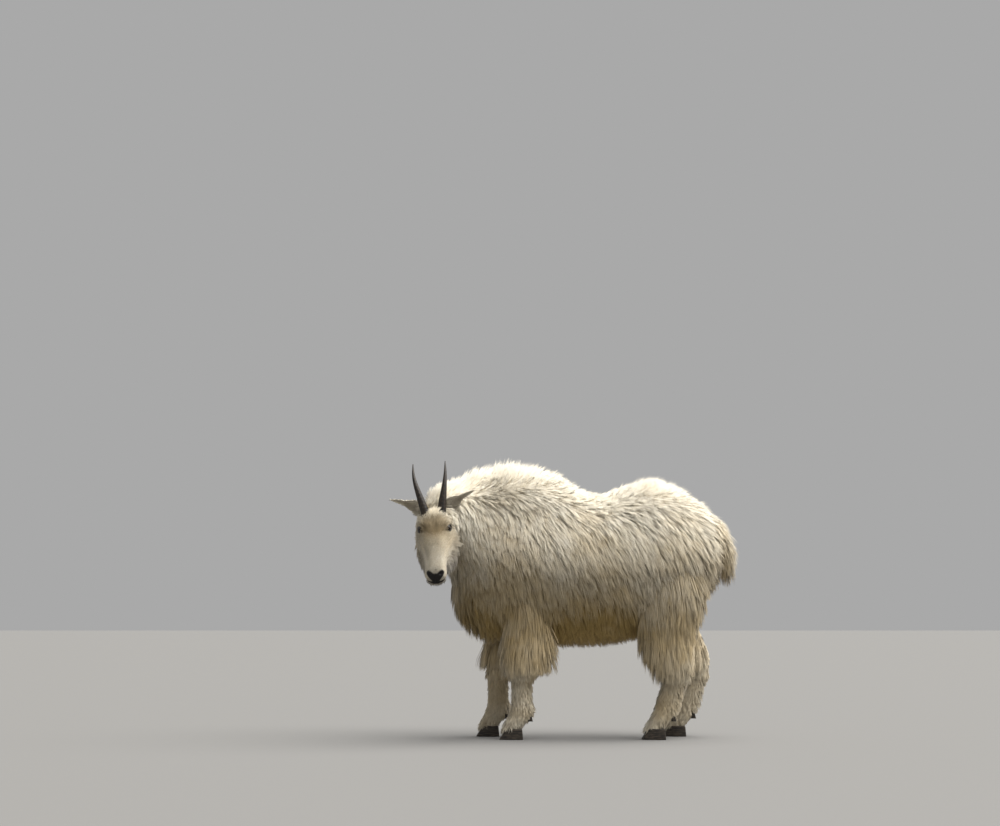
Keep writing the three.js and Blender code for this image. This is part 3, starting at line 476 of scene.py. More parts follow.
head_points, head_faces = tube(head_rings())
head = mesh_from("head_skin", to_metres(head_to_goat(head_points)), head_faces)
outward(head)
apply_modifier(head, "fuse", "REMESH", mode="VOXEL", voxel_size=HEAD_VOXEL, adaptivity=0)
apply_modifier(head, "soften", "SMOOTH", factor=0.5, iterations=6)
local = shaped_head(goat_to_head(to_millimetres(points_of(head.data))), normals_of(head.data) @ head_turn)
head.data.vertices.foreach_set("co", to_metres(head_to_goat(local)).ravel())
head.data.update()


# The ears are long pointed cups that stand out sideways and open forwards and down, thin at the rim.
EAR_AT = np.array([-84, 30, 28])
EAR_LONG, EAR_HALF, EAR_DEEP, EAR_WALL = 141, 30, 17, 4.2
EAR_RISE = {"left": 26, "right": 17}
EAR_BACK, EAR_TURN = 12, -5


def ear_half(t):
    """Half the width of an ear, from 0 at its root to 1 at its tip."""
    swell = 0.5 + 0.5 * np.sin(np.pi * np.clip(t * 1.5 + 0.12, 0, 1))
    return EAR_HALF * swell * np.clip(1 - np.clip(t, 0, 1) ** 2.4, 0, 1) ** 0.75


def ear_rings():
    """Closed sections of the cup from root to tip: round the back, then back along the inside."""
    rings = []
    across = np.linspace(-1, 1, 15)
    bowl = 1 - across**2
    for t in np.linspace(0, 0.985, 34):
        half = ear_half(t)
        deep = EAR_DEEP * half / EAR_HALF
        x = -6 * math.sin(math.pi * t)
        wall = EAR_WALL * (1 - 0.6 * t)
        outer = np.stack([x - deep * bowl, np.full(15, EAR_LONG * t), half * across], 1)
        inner = np.stack([
            x - deep * bowl + wall * (0.3 + 0.7 * bowl),
            np.full(15, EAR_LONG * t),
            half * across * 0.96,
        ], 1)
        rings.append(np.concatenate([outer, inner[::-1]]))
    return np.array(rings)


def ear_axes(side):
    """How an ear is turned in the head's frame: about its own length, then up and back."""
    about = Euler((0, math.radians(EAR_TURN), 0), "XYZ").to_matrix()
    swung = Euler((math.radians(EAR_RISE[side]), 0, math.radians(EAR_BACK)), "XYZ").to_matrix()
    return np.array(swung @ about)


def ear_to_head(points, side):
    flip = np.array([1, SIDES[side], 1])
    return points @ ear_axes(side).T * flip + EAR_AT * flip


def head_to_ear(points, side):
    flip = np.array([1, SIDES[side], 1])
    return ((points - EAR_AT * flip) * flip) @ ear_axes(side)


for side in SIDES:
    ear_points, ear_faces = tube(ear_rings())
    placed = to_metres(head_to_goat(ear_to_head(ear_points, side)))
    ear = mesh_from("ear_skin_" + side, placed, ear_faces)
    outward(ear)
    apply_modifier(ear, "round", "SUBSURF", levels=1, render_levels=1)
    apply_modifier(head, "union", "BOOLEAN", operation="UNION", solver="MANIFOLD", object=ear)
    bpy.data.objects.remove(ear)
apply_modifier(skin, "union", "BOOLEAN", operation="UNION", solver="MANIFOLD", object=head)
bpy.data.objects.remove(head)
select_only(skin)
bpy.ops.object.shade_smooth()


# How the goat's parts lie, for the coat. Each point is told how far along a part it is, how far round it,
# and how far out, where 1 is the part's own surface. Points belong to the part they are deepest in.
def sections_place(rows, end):
    """For trunk and head, by the rows of their sections. Past the ends, end millimetres count as 1 out."""
    def place(points):
        x = points[:, 0]
        top, bottom, half = (np.interp(x, rows[:, 0], rows[:, k]) for k in (1, 2, 3))
        s = (points[:, 2] - (top + bottom) / 2) / ((top - bottom) / 2)
        c = points[:, 1] / half
        beyond = np.maximum(rows[0, 0] - x, 0) + np.maximum(x - rows[-1, 0], 0)
        along = (x - rows[0, 0]) / (rows[-1, 0] - rows[0, 0])
        return np.hypot(c, s) + beyond / end, along, np.arctan2(c, s)

    return place


def path_place(rows):
    """For neck and tail, by the nearest step of their path."""
    path, forward, across, up = path_axes(rows, 30)
    centre = path[:, :3]

    def place(points):
        away = ((points[:, None] - centre[None]) ** 2).sum(2)
        k = away.argmin(1)
        rel = points - centre[k]
        c = (rel * across[k]).sum(1) / path[k, 4]
        s = (rel * up[k]).sum(1) / path[k, 3]
        over = np.abs((rel * forward[k]).sum(1)) / 80
        ends = (k == 0) | (k == len(path) - 1)
        return np.hypot(c, s) + np.where(ends, over, 0), k / (len(path) - 1), np.arctan2(c, s)

    return place


def leg_place(line):
    """For a leg, by the section at the point's height."""
    up = line[::-1]

    def place(points):
        z = points[:, 2]
        x, y, long, wide = (np.interp(z, up[:, 0], up[:, k]) for k in (1, 2, 3, 4))
        c = (points[:, 1] - y) / wide
        s = (points[:, 0] - x) / long
        over = np.maximum(z - line[0, 0], 0) / 60
        return np.hypot(c, s) + over, 1 - z / line[0, 0], np.arctan2(c, s)

    return place


def head_place(points):
    return sections_place(HEAD, 30)(goat_to_head(points))


def ear_place(side):
    """For an ear, by its long axis."""
    def place(points):
        local = head_to_ear(goat_to_head(points), side)
        t = local[:, 1] / EAR_LONG
        far = np.abs(local[:, 0] + 8) / 16 + np.abs(local[:, 2]) / 40
        over = np.maximum(-t, 0) * 6 + np.maximum(t - 1, 0) * 6
        return far * 0.75 + over + smooth(t, 0.16, 0.02), t, local[:, 2] / EAR_HALF

    return place


PART_PLACES = {"torso": sections_place(TORSO, 60), "neck": path_place(NECK), "tail": path_place(TAIL)}
PART_PLACES.update({name: leg_place(line) for name, line in LEG_LINES.items()})
PART_PLACES.update({"head": head_place, "ear_left": ear_place("left"), "ear_right": ear_place("right")})
PARTS = list(PART_PLACES)
HEAD_PARTS = [PARTS.index(name) for name in ("head", "ear_left", "ear_right")]
LEG_PARTS = [PARTS.index(name) for name in LEG_LINES]
PART_EDGE = np.array([9.0 if name.startswith(("head", "ear")) else 3.2 for name in PARTS])

skin.data.calc_loop_triangles()
skin_points = to_millimetres(points_of(skin.data))
skin_normals = normals_of(skin.data)
corners = np.empty(len(skin.data.loop_triangles) * 3, int)
skin.data.loop_triangles.foreach_get("vertices", corners)
corners = corners.reshape(-1, 3)
triangle_points = skin_points[corners]
triangle_area = 0.5 * np.linalg.norm(
    np.cross(triangle_points[:, 1] - triangle_points[:, 0], triangle_points[:, 2] - triangle_points[:, 0]),
    axis=1,
)


# The goat's colours, as masks by place. The coat is cream white, yellower towards the belly and the chaps,
# partly its own stain and partly painted shade low on and under the body, with a brown brow between horns and
# eyes, brown inside the ears, partly their own colour and partly painted shade low in the cup, painted brown
# shade over the face and round the eye sockets, and bare black skin on nose, lips and lids.
def sway(points, spacing, seed, waves=5):
    """A slow wander between about -1 and 1 over the points, with the given spacing in millimetres."""
    draw = np.random.default_rng(seed)
    ways = unit(draw.normal(size=(waves, 3)))
    spacings = spacing * draw.uniform(0.6, 1.5, waves)
    phases = draw.uniform(0, 2 * math.pi, waves)
    turns = points @ ways.T * (2 * math.pi / spacings) + phases
    return np.sin(turns).sum(1) / math.sqrt(waves) / 1.2


def part_shares(points):
    """How much of each part a point takes after, and the part that it is deepest in."""
    depths = np.stack([PART_PLACES[name](points)[0] for name in PARTS], 1)
    share = np.exp(-(depths - depths.min(1, keepdims=True)) * PART_EDGE)
    return share / share.sum(1, keepdims=True), depths.argmin(1)


def ear_cup(points, side):
    """1 inside the cup of an ear, 0 on its back and rim."""
    local = head_to_ear(goat_to_head(points), side)
    t = local[:, 1] / EAR_LONG
    half = ear_half(t)
    bowl = 1 - np.clip(local[:, 2] / np.maximum(half, 1), -1, 1) ** 2
    middle = -6 * np.sin(np.pi * np.clip(t, 0, 1)) - EAR_DEEP * half / EAR_HALF * bowl
    front = smooth(local[:, 0] - middle, 1.2, 2.6)
    low = smooth(local[:, 2] / np.maximum(half, 1), 0.55, 0.0)
    return front * smooth(t, 0.02, 0.12) * smooth(bowl, 0.08, 0.3) * low


def bare_skin(points):
    """1 on the nose leather, in the nostrils, along the lips and on the rims of the lids."""
    local = goat_to_head(points)
    mirrored = folded(local)
    x, y, z = mirrored.T
    pad_edge = 14 + 20 * smooth(z, -60, -28)
    pad_top = -25 + 6 * smooth(y, 4, 20)
    pad = smooth(x, 186, 192) * smooth(y, pad_edge + 2.5, pad_edge - 2.5)
    pad *= smooth(z, pad_top + 3, pad_top - 3)
    pad *= smooth(z, -66, -60)
    from_line = np.abs(z - mouth_height(x))
    lips = smooth(from_line, 8.5 - 4 * smooth(x, 200, 150), 4) * smooth(x, MOUTH_CORNER, MOUTH_CORNER + 26)
    chin = smooth(x, 190, 197) * smooth(y, 15, 11) * smooth(z, -76, -72) * smooth(z, -56, -60)
    bare = np.maximum(np.maximum(pad, lips), chin)
    bare = np.maximum(bare, smooth(np.linalg.norm((mirrored - NOSTRIL_AT) / (12, 10, 8), axis=1), 1.2, 0.8))
    for side in (-1, 1):
        ring = lid_place(local, side)[2]
        bare = np.maximum(bare, smooth(ring, 1.5, 1.22))
    return np.where(np.abs(local[:, 0]) < 260, bare, 0) * (np.abs(local[:, 1]) < 90)


def markings(points, normals):
    """How yellow and how brown the coat is at each place: partly its own colours and partly painted shade."""
    x, _, z = points.T
    local = goat_to_head(points)
    share = part_shares(points)[0]
    on_head = share[:, PARTS.index("head")]
    # Yellower low on the body and where the skin faces down: partly the coat's own stain, partly painted
    # shade.
    yellow = 0.04 + 0.78 * smooth(z, 910, 420) + 0.14 * smooth(-normals[:, 2], 0.0, 0.7)
    chest = smooth(x, -300, -400) * smooth(z, 660, 540)
    yellow += 0.25 * chest + 0.25 * share[:, PARTS.index("torso")] * smooth(z, 560, 480)
    yellow -= sum(share[:, k] for k in LEG_PARTS) * (0.18 + 0.2 * smooth(z, 420, 300))
    yellow += 0.10 * sway(points, 260, 3) + 0.05 * sway(points, 70, 4)
    yellow += 0.45 * bump_at(points, (520, 0, 690), (60, 62, 110))
    yellow -= 0.25 * smooth(z, 110, 60)
    muzzle = smooth(local[:, 0], 60, 150)
    face = 0.30 - 0.16 * muzzle + 0.10 * smooth(local[:, 2], -40, -80)
    yellow = yellow * (1 - on_head) + face * on_head
    brow = np.clip(1.4 * bump_at(local, (12, 0, 34), (44, 56, 50)), 0, 0.9) * on_head
    brow *= smooth(local[:, 0], -34, -16)
    # Painted shade: brown round the eye sockets and a little over the whole head. The brow above is the
    # coat's own brown.
    socket_shade = sum(bump_at(local, (10, side * 50, 8), (24, 20, 18)) for side in (-1, 1)) * on_head
    brown = 0.95 * brow + 0.12 * socket_shade + 0.10 * on_head
    for side in SIDES:
        on_ear = share[:, PARTS.index("ear_" + side)]
        # Brown low in the cup of each ear: partly the ear's own colour, partly painted shade.
        brown += 0.5 * ear_cup(points, side) * on_ear
        yellow = yellow * (1 - 0.8 * on_ear)
    return np.clip(yellow, 0, 1), np.clip(brown, 0, 1)


def painted_light_at(points, part):
    """How light the coat is painted, standing in for light and shade: light on the back and ears, darker low
    on the flanks, at the chest, over the face and down the nose, and lighter again low on the legs.
    """
    x, _, z = points.T
    # Painted light high on the body and painted shade lower down and at the front of the chest; the tone
    # rises again low on the legs.
    light_and_shade = 0.43 + 0.55 * smooth(z, 640, 840) + 0.34 * smooth(z, 500, 400)
    light_and_shade = light_and_shade - 0.12 * smooth(x, -330, -430) * smooth(z, 640, 520)
    on_head = part == PARTS.index("head")
    local = goat_to_head(points)
    # Painted shade over the face, deepest down the bridge of the nose and lifting behind the eyes.
    nose_ridge_shade = smooth(np.abs(local[:, 1]), 46, 16) * smooth(local[:, 0], 40, 90)
    light_and_shade[on_head] = (0.60 - 0.50 * nose_ridge_shade + 0.30 * smooth(local[:, 0], -20, -50))[on_head]
    # Painted light on the upper half of each ear, along its rim.
    for side in SIDES:
        on_ear = part == PARTS.index("ear_" + side)
        up = head_to_ear(local[on_ear], side)[:, 2] / EAR_HALF
        light_and_shade[on_ear] = 0.8 + 0.2 * smooth(up, -0.3, 0.3)
    return light_and_shade


def mark_points(mesh, columns):
    """Keeps the masks on the mesh: red yellow, green brown, blue painted light and shade with random tone,
    alpha from root to tip.
    """
    layer = mesh.color_attributes.new("marks", "FLOAT_COLOR", "POINT")
    layer.data.foreach_set("color", np.ascontiguousarray(columns, dtype=np.float32).ravel())


def paint(red, green, blue):
    """A colour as a paint card gives it, 0 to 255, in the linear light that shaders use."""
    return tuple(
        (v / 255 / 12.92 if v <= 10 else ((v / 255 + 0.055) / 1.055) ** 2.4) for v in (red, green, blue)
    ) + (1,)


WHITE_WOOL = paint(248, 241, 224)
YELLOW_WOOL = paint(200, 170, 108)
BROWN_WOOL = paint(126, 106, 68)
# ROOT_SHADE is painted shade, multiplied into the wool towards the hair's roots; ROOT_DEPTH is how far along
# the hair it reaches and ROOT_STRENGTH its strength at the root.
ROOT_SHADE = paint(190, 172, 134)
NOSE_BLACK = paint(22, 19, 18)
ROOT_DEPTH, ROOT_STRENGTH = 0.75, 0.6
PAINTED_LIGHT_RANGE = (0.35, 1.10)


def worked_out(tree, operation, *values, use_clamp=False):
    """The result of a Math node over numbers and other nodes' outputs."""
    node = put(tree, "ShaderNodeMath", operation=operation, use_clamp=use_clamp)
    for socket, value in zip(node.inputs, values):
        feed(tree, socket, value)
    return node.outputs[0]


def blended(tree, factor, first, second, mode="MIX"):
    """The colour that a Mix node makes of two others."""
    mix = tree.nodes.new("ShaderNodeMix")
    mix.data_type = "RGBA"
    mix.blend_type = mode
    for socket, value in ((mix.inputs[0], factor), (mix.inputs[6], first), (mix.inputs[7], second)):
        feed(tree, socket, value)
    return mix.outputs[2]


def grain(tree, scale, detail, squash=(1.0, 1.0, 1.0), roughness=0.5):
    """Noise fixed to the piece, from 0 to 1."""
    place = tree.nodes.new("ShaderNodeTexCoord")
    squashed = put(tree, "ShaderNodeMapping", Scale=squash, Vector=place.outputs["Object"])
    noise = put(tree, "ShaderNodeTexNoise", Scale=scale, Detail=detail, Roughness=roughness,
                Vector=squashed.outputs[0])
    return noise.outputs["Fac"]


def wool_group():
    """The colour of the coat, shared by skin, face and wool: masks in, colour out."""
    group = bpy.data.node_groups.new("wool_colour", "ShaderNodeTree")
    for socket in ("Yellow", "Brown", "Lightness", "Along"):
        group.interface.new_socket(socket, in_out="INPUT", socket_type="NodeSocketFloat")
    group.interface.new_socket("Color", in_out="OUTPUT", socket_type="NodeSocketColor")
    come = group.nodes.new("NodeGroupInput")
    go = group.nodes.new("NodeGroupOutput")
    stain = worked_out(group, "MULTIPLY_ADD", grain(group, 14.0, 3.0, roughness=0.6), 0.5, -0.25)
    yellower = worked_out(group, "ADD", come.outputs["Yellow"], stain, use_clamp=True)
    wool = blended(group, yellower, WHITE_WOOL, YELLOW_WOOL)
    wool = blended(group, come.outputs["Brown"], wool, BROWN_WOOL)
    # Painted shade at the hair's roots, fading out along the hair.
    root = put(group, "ShaderNodeMapRange", From_Max=ROOT_DEPTH, To_Min=ROOT_STRENGTH, To_Max=0.0,
               Value=come.outputs["Along"])
    wool = blended(group, root.outputs[0], wool, ROOT_SHADE, "MULTIPLY")
    # The wool is scaled by the painted light and shade, together with each lock's and hair's random tone.
    painted_light_scale = put(group, "ShaderNodeMapRange", To_Min=PAINTED_LIGHT_RANGE[0], To_Max=PAINTED_LIGHT_RANGE[1],
              Value=come.outputs["Lightness"])
    light = group.nodes.new("ShaderNodeVectorMath")
    light.operation = "SCALE"
    group.links.new(wool, light.inputs[0])
    group.links.new(painted_light_scale.outputs[0], light.inputs["Scale"])
    group.links.new(light.outputs[0], go.inputs["Color"])
    return group


WOOL_COLOUR = wool_group()


def wool_on(tree):
    """Places the wool colour in a material, fed from the masks on the mesh."""
    masks = put(tree, "ShaderNodeVertexColor", layer_name="marks")
    parts = put(tree, "ShaderNodeSeparateColor", Color=masks.outputs["Color"])
    colour = put(tree, "ShaderNodeGroup", node_tree=WOOL_COLOUR)
    tree.links.new(parts.outputs["Red"], colour.inputs["Yellow"])
    tree.links.new(parts.outputs["Green"], colour.inputs["Brown"])
    tree.links.new(parts.outputs["Blue"], colour.inputs["Lightness"])
    tree.links.new(masks.outputs["Alpha"], colour.inputs["Along"])
    return colour.outputs["Color"]


# The hide under the coat: wool colour over most of it, with short fur as bump, and black bare skin. Under
# long hair it takes a little of the painted shade of the hair's roots, and under short hair none.
SHANK_HIGH = 240
DEPTH_SHORT, DEPTH_LONG = 0.8, 0.6
yellow, brown = markings(skin_points, skin_normals)
bare = bare_skin(skin_points)
skin_part = part_shares(skin_points)[1]
on_shank = (skin_points[:, 2] < SHANK_HIGH) & np.isin(skin_part, LEG_PARTS)
depth_seen = np.where(np.isin(skin_part, HEAD_PARTS) | on_shank, DEPTH_SHORT, DEPTH_LONG)
mark_points(skin.data, np.stack([yellow, brown, painted_light_at(skin_points, skin_part), depth_seen], 1))
bare_layer = skin.data.attributes.new("bare", "FLOAT", "POINT")
bare_layer.data.foreach_set("value", bare.astype(np.float32))

hide, hide_tree, hide_shader = finish_of("hide", Specular_IOR_Level=0.25)
bare_mask = put(hide_tree, "ShaderNodeAttribute", attribute_name="bare")
hide_colour = blended(hide_tree, bare_mask.outputs["Fac"], wool_on(hide_tree), NOSE_BLACK)
hide_tree.links.new(hide_colour, hide_shader.inputs["Base Color"])
wetness = put(hide_tree, "ShaderNodeMapRange", To_Min=0.85, To_Max=0.38, Value=bare_mask.outputs["Fac"])
hide_tree.links.new(wetness.outputs[0], hide_shader.inputs["Roughness"])
fine_fur = grain(hide_tree, 420.0, 2.0)
hide_bump = put(hide_tree, "ShaderNodeBump", Strength=0.35, Distance=0.0012, Height=fine_fur)
hide_tree.links.new(hide_bump.outputs[0], hide_shader.inputs["Normal"])
skin.data.materials.clear()
skin.data.materials.append(hide)
skin.data.polygons.foreach_set("material_index", np.zeros(len(skin.data.polygons), int))
FLESH_NODES = ["neck", "chest", "barrel", "rump", "tail", "head", "ear_left", "ear_right"]
FLESH_NODES += [leg + part for leg in LEG_LINES for part in ("_upper", "_lower")]
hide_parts(*FLESH_NODES)
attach(skin, "root")


# The coat: guard hair over wool, in tapered tufts that are rooted in the skin, lie back and down along the
# body, and draw together at their tips. It stands up along the withers and croup, hangs as chaps on the
# upper legs and as a fringe under chest and belly, and is short on the face, ears and shanks.
# Rows of BACK: place along the back, length of the crest there.
BACK = np.array([
    [-446, 40], [-400, 86], [-340, 112], [-280, 100], [-200, 80], [-120, 76], [-50, 68], [20, 56],
    [95, 48], [175, 62], [260, 80], [340, 70], [420, 58], [506, 66],
], float)
SIDE_LONG, BELLY_LONG, CHEST_LONG, NECK_LONG = 98, 82, 100, 98
CHAP_LONG, SHANK_LONG, PASTERN_LONG, TAIL_LONG = 124, 25, 26, 90
CHAP_END = {"foreleg_left": 236, "foreleg_right": 258, "hindleg_left": 206, "hindleg_right": 240}
HAIRS_PER_CM2 = {"body": 6.3, "chap": 6.2, "shank": 12.0, "head": 18.0, "ear": 20.0, "tail": 9.0}
HAIR_WIDE, FACE_HAIR_WIDE, SHANK_HAIR_WIDE = 2.5, 1.3, 2.0
CHAP_LOW, LOWEST_HAIR, BARE_FROM = 255, 34, 0.35
COAT_SEED = 41
# How each tuft strays from the comb: turn in radians, lean in degrees, share of length, and lightness, first
# for a whole lock and then for its own hair. LOCK_PULL is how far the tips of a lock are drawn together.
LOCK_TURN, LOCK_LEAN, LOCK_LENGTHS, LOCK_LIGHT = 0.15, 4, (0.84, 1.10), 0.05
HAIR_TURN, HAIR_LEAN, HAIR_LENGTHS, HAIR_LIGHT = 0.12, 4, (0.86, 1.05), 0.07
LOCK_PULL, LOCK_PULL_LESS = 0.60, 0.34
SHORT_TUFT = 34
# PATCH is the size of a tuft on the unwrap. COAT_AS_ONE is how far a tuft takes its light as the skin under
# it does. The shapes give places along a tuft and its thickness there.
PATCH = 0.003
COAT_AS_ONE = 0.86
LONG_SHAPE = ((0.0, 0.0), (0.38, 1.0), (0.74, 0.66), (1.0, 0.0))
SHORT_SHAPE = ((0.0, 0.0), (0.5, 1.0), (1.0, 0.0))


# Each comb below takes places and skin normals. It gives lie, the way the tufts point, long, their length,
# lift and drop, their angles to the skin at root and tip, hang, how far gravity bends them, and wide.
def torso_comb(p, n):
    top = smooth(n[:, 2], 0.35, 0.92)
    under = smooth(-n[:, 2], 0.35, 0.9)
    front = smooth(-n[:, 0], 0.45, 0.9)
    back = 0.28 + 0.22 * smooth(p[:, 0], -330, 320) + 0.30 * smooth(p[:, 2], 520, 900)
    back += 0.9 * smooth(p[:, 0], 360, 470) * smooth(p[:, 2], 540, 640)
    lie = np.stack([
        back * (1 - front) + 0.6 * top + 0.5 * under,
        np.sign(p[:, 1]) * 0.18 * top,
        -(1 - 0.85 * top),
    ], 1)
    crest = np.interp(p[:, 0], BACK[:, 0], BACK[:, 1])
    ends = smooth(n[:, 0], 0.3, 0.9)
    long = SIDE_LONG * (1 - top) + crest * top
    long = long * (1 - under) + BELLY_LONG * under
    long = long * (1 - front) + CHEST_LONG * front
    long += 30 * smooth(p[:, 0], -300, -360) * smooth(p[:, 2], 620, 500)
    peak = smooth(crest, 60, 100)
    return {
        "lie": lie, "long": long,
        "lift": 23 + (28 + 24 * peak) * top + 20 * under + 14 * ends + 10 * front,
        "drop": 6 + (26 + 32 * peak) * top + 12 * ends + 8 * front,
        "hang": 0.28 * (1 - top) * (1 - ends) + 0.45 * under + 0.3 * front,
        "wide": HAIR_WIDE,
    }


def neck_comb(p, n):
    top = smooth(n[:, 2], 0.25, 0.85)
    under = smooth(-n[:, 2], 0.2, 0.8)
    lie = np.stack([0.42 + 0.5 * top - 0.1 * under, 0.05 * np.sign(p[:, 1]) * top, -(1 - 0.8 * top)], 1)
    near_head = smooth(p[:, 1], -40, -110) + 0.8 * top * smooth(p[:, 0], -405, -455)
    ear_tip = head_to_goat(ear_to_head(np.array([[0.0, EAR_LONG * 0.75, 0]]), "left"))[0]
    near_head = np.clip(near_head + smooth(np.linalg.norm(p - ear_tip, axis=1), 190, 90), 0, 1)
    return {
        "lie": lie, "long": NECK_LONG - 6 * top - 46 * near_head, "lift": 26 + 44 * top,
        "drop": 7 + 40 * top, "hang": 0.3 * (1 - top) + 0.4 * under, "wide": HAIR_WIDE,
    }


def tail_comb(p, n):
    lie = np.array([0.25, 0.0, -1.0])
    return {"lie": lie, "long": TAIL_LONG, "lift": 36, "drop": 12, "hang": 0.35, "wide": HAIR_WIDE - 0.4}


def leg_comb(name):
    end = CHAP_END[name]
    hind = name.startswith("hind")

    def comb(p, n):
        z = p[:, 2]
        chap = smooth(z, 235, 285)
        rear = smooth(n[:, 0], 0.2, 0.9)
        foot = smooth(z, 125, 80)
        long = CHAP_LONG * chap + SHANK_LONG * (1 - chap)
        reach = np.maximum((z - end) * 1.06, SHANK_LONG)
        long = np.minimum(long, reach) * chap + long * (1 - chap)
        long *= 1 - (0.62 if hind else 0.0) * rear * smooth(z, 560, 420) * chap
        flare = (0 if hind else 1) * rear * chap
        fringe = smooth(-n[:, 0], 0.2, 0.9) * chap * smooth(z, 640, 480)
        long += fringe * (0 if hind else 20) * smooth(z, 260, 340)
        shaggy = rear * (1 - chap) * (1 - foot)
        long += shaggy * (12 if hind else 5)
        long = long * (1 - foot) + PASTERN_LONG * foot
        lie = np.stack([0.05 + 0.22 * rear - 0.05 * foot, np.zeros(len(p)), np.full(len(p), -1.0)], 1)
        return {
            "lie": lie, "long": long,
            "lift": 36 - 12 * chap + 16 * chap * (1 - 0.8 * rear) * smooth(z, 560, 380)
            + 4 * shaggy + 20 * flare + 12 * fringe,
            "drop": 9 - 3 * chap + 8 * chap * (1 - rear) * smooth(z, 560, 380)
            + 10 * shaggy + 16 * flare + 10 * fringe,
            "hang": (0.7 - 0.25 * flare) * chap,
            "wide": SHANK_HAIR_WIDE + (HAIR_WIDE - SHANK_HAIR_WIDE) * chap,
        }

    return comb


def head_comb(p, n):
    local = goat_to_head(p)
    ln = n @ head_turn
    x, y, z = local.T
    cheek = smooth(x, 90, 0) * smooth(-z, 10, 60)
    jaw = smooth(-ln[:, 2], 0.1, 0.75) * smooth(x, 208, 188)
    crown = bump_at(local, (-48, 0, 44), (34, 44, 34))
    behind = smooth(x, -40, -90)
    lie = np.stack([
        -1.0 + 0.3 * jaw,
        np.sign(y) * 0.12 * (1 - jaw),
        -0.55 * cheek - 0.2 * smooth(-z, 0, 50),
    ], 1)
    wisps = smooth(x, 150, 110) * smooth(x, 0, 50) * smooth(-z, 40, 72)
    long = 5 + 3 * smooth(x, 150, 20) + 8 * crown + 24 * cheek * (1 - wisps) + 36 * behind
    long += jaw * (14 + 48 * smooth(x, 180, 80)) + 40 * wisps * (1 - jaw)
    side = smooth(y, 26, 48) * smooth(x, 150, 100) * smooth(x, -30, 20) * smooth(z, 6, -30)
    long += 22 * side
    return {
        "lie": lie @ head_turn.T, "long": long,
        "lift": 16 + 18 * crown + 16 * jaw + 10 * cheek + 16 * wisps * (1 - jaw) + 24 * side,
        "drop": 7 + 12 * crown + 8 * wisps + 14 * side,
        "hang": np.clip(0.85 * jaw + 0.4 * cheek + 0.5 * wisps, 0, 0.85),
        "wide": FACE_HAIR_WIDE + 0.9 * np.clip((long - 14) / 40, 0, 1),
    }


def ear_comb(side):
    def comb(p, n):
        root = ear_to_head(np.array([[0.0, 0, 0]]), side)
        tip = ear_to_head(np.array([[0.0, EAR_LONG, 0]]), side)
        way = unit(head_to_goat(tip) - head_to_goat(root))
        cup = ear_cup(p, side)
        t = PART_PLACES["ear_" + side](p)[1]
        base = smooth(t, 0.3, 0.05)
        return {
            "lie": way, "long": 8 + 5 * cup + 12 * base, "lift": 22 + 10 * cup,
            "drop": 8, "hang": 0, "wide": FACE_HAIR_WIDE,
        }

    return comb


COMBS = {"torso": torso_comb, "neck": neck_comb, "tail": tail_comb, "head": head_comb}
COMBS.update({name: leg_comb(name) for name in LEG_LINES})
COMBS.update({"ear_left": ear_comb("left"), "ear_right": ear_comb("right")})


def combed(points, normals):
    """The combs of all parts, blended by how near each point is to them, and the part it belongs to."""
    share, part = part_shares(points)
    made = {key: np.zeros(len(points)) for key in ("long", "lift", "drop", "hang", "wide")}
    made["lie"] = np.zeros((len(points), 3))
    for k, name in enumerate(PARTS):
        comb = COMBS[name](points, normals)
        for key, total in made.items():
            weight = share[:, k, None] if key == "lie" else share[:, k]
            total += weight * comb[key]
    return made, part


def tuft_paths(points, normals, comb, yaw, lean, long, steps=10):
    """Each tuft's centre line from root to tip, bent by its angles to the skin and by gravity."""
    lie = comb["lie"] - (comb["lie"] * normals).sum(1, keepdims=True) * normals
    lie = unit(lie)
    side = np.cross(normals, lie)
    lie = lie * np.cos(yaw)[:, None] + side * np.sin(yaw)[:, None]
    path = [points]
    for k in range(steps - 1):
        s = (k + 0.5) / (steps - 1)
        angle = np.radians(comb["lift"] + (comb["drop"] - comb["lift"]) * s + lean)[:, None]
        way = np.cos(angle) * lie + np.sin(angle) * normals
        hang = (comb["hang"] * min(1.0, 0.25 + s))[:, None]
        way = unit(way * (1 - hang) + GROUND * hang)
        path.append(path[-1] + way * (long / (steps - 1))[:, None])
    return np.stack(path, 1)


def roots_on_skin(seed):
    """Roots drawn evenly over the skin, closer together where the fur is short."""
    draw = np.random.default_rng(seed)
    middle = triangle_points.mean(1)
    part = part_shares(middle)[1]
    rate = np.full(len(middle), HAIRS_PER_CM2["body"])
    for name in LEG_LINES:
        here = part == PARTS.index(name)
        rate[here] = np.where(middle[here, 2] > CHAP_LOW, HAIRS_PER_CM2["chap"], HAIRS_PER_CM2["shank"])
    rate[part == PARTS.index("head")] = HAIRS_PER_CM2["head"]
    rate[part == PARTS.index("tail")] = HAIRS_PER_CM2["tail"]
    for name in ("ear_left", "ear_right"):
        rate[part == PARTS.index(name)] = HAIRS_PER_CM2["ear"]
    expected = triangle_area / 100 * rate
    count = int(expected.sum())
    chosen = draw.choice(len(middle), count, p=expected / expected.sum())
    a, b = np.sqrt(draw.random(count)), draw.random(count)
    mix = np.stack([1 - a, a * (1 - b), a * b], 1)[:, :, None]
    points = (triangle_points[chosen] * mix).sum(1)
    normals = unit((skin_normals[corners[chosen]] * mix).sum(1))
    keep = (bare_skin(points) < BARE_FROM) & (points[:, 2] > LOWEST_HAIR)
    return points[keep], normals[keep]


def nearest(points, targets):
    tree = kdtree.KDTree(len(targets))
    for k, at in enumerate(targets):
        tree.insert(at, k)
    tree.balance()
    return np.array([tree.find(at)[1] for at in points])


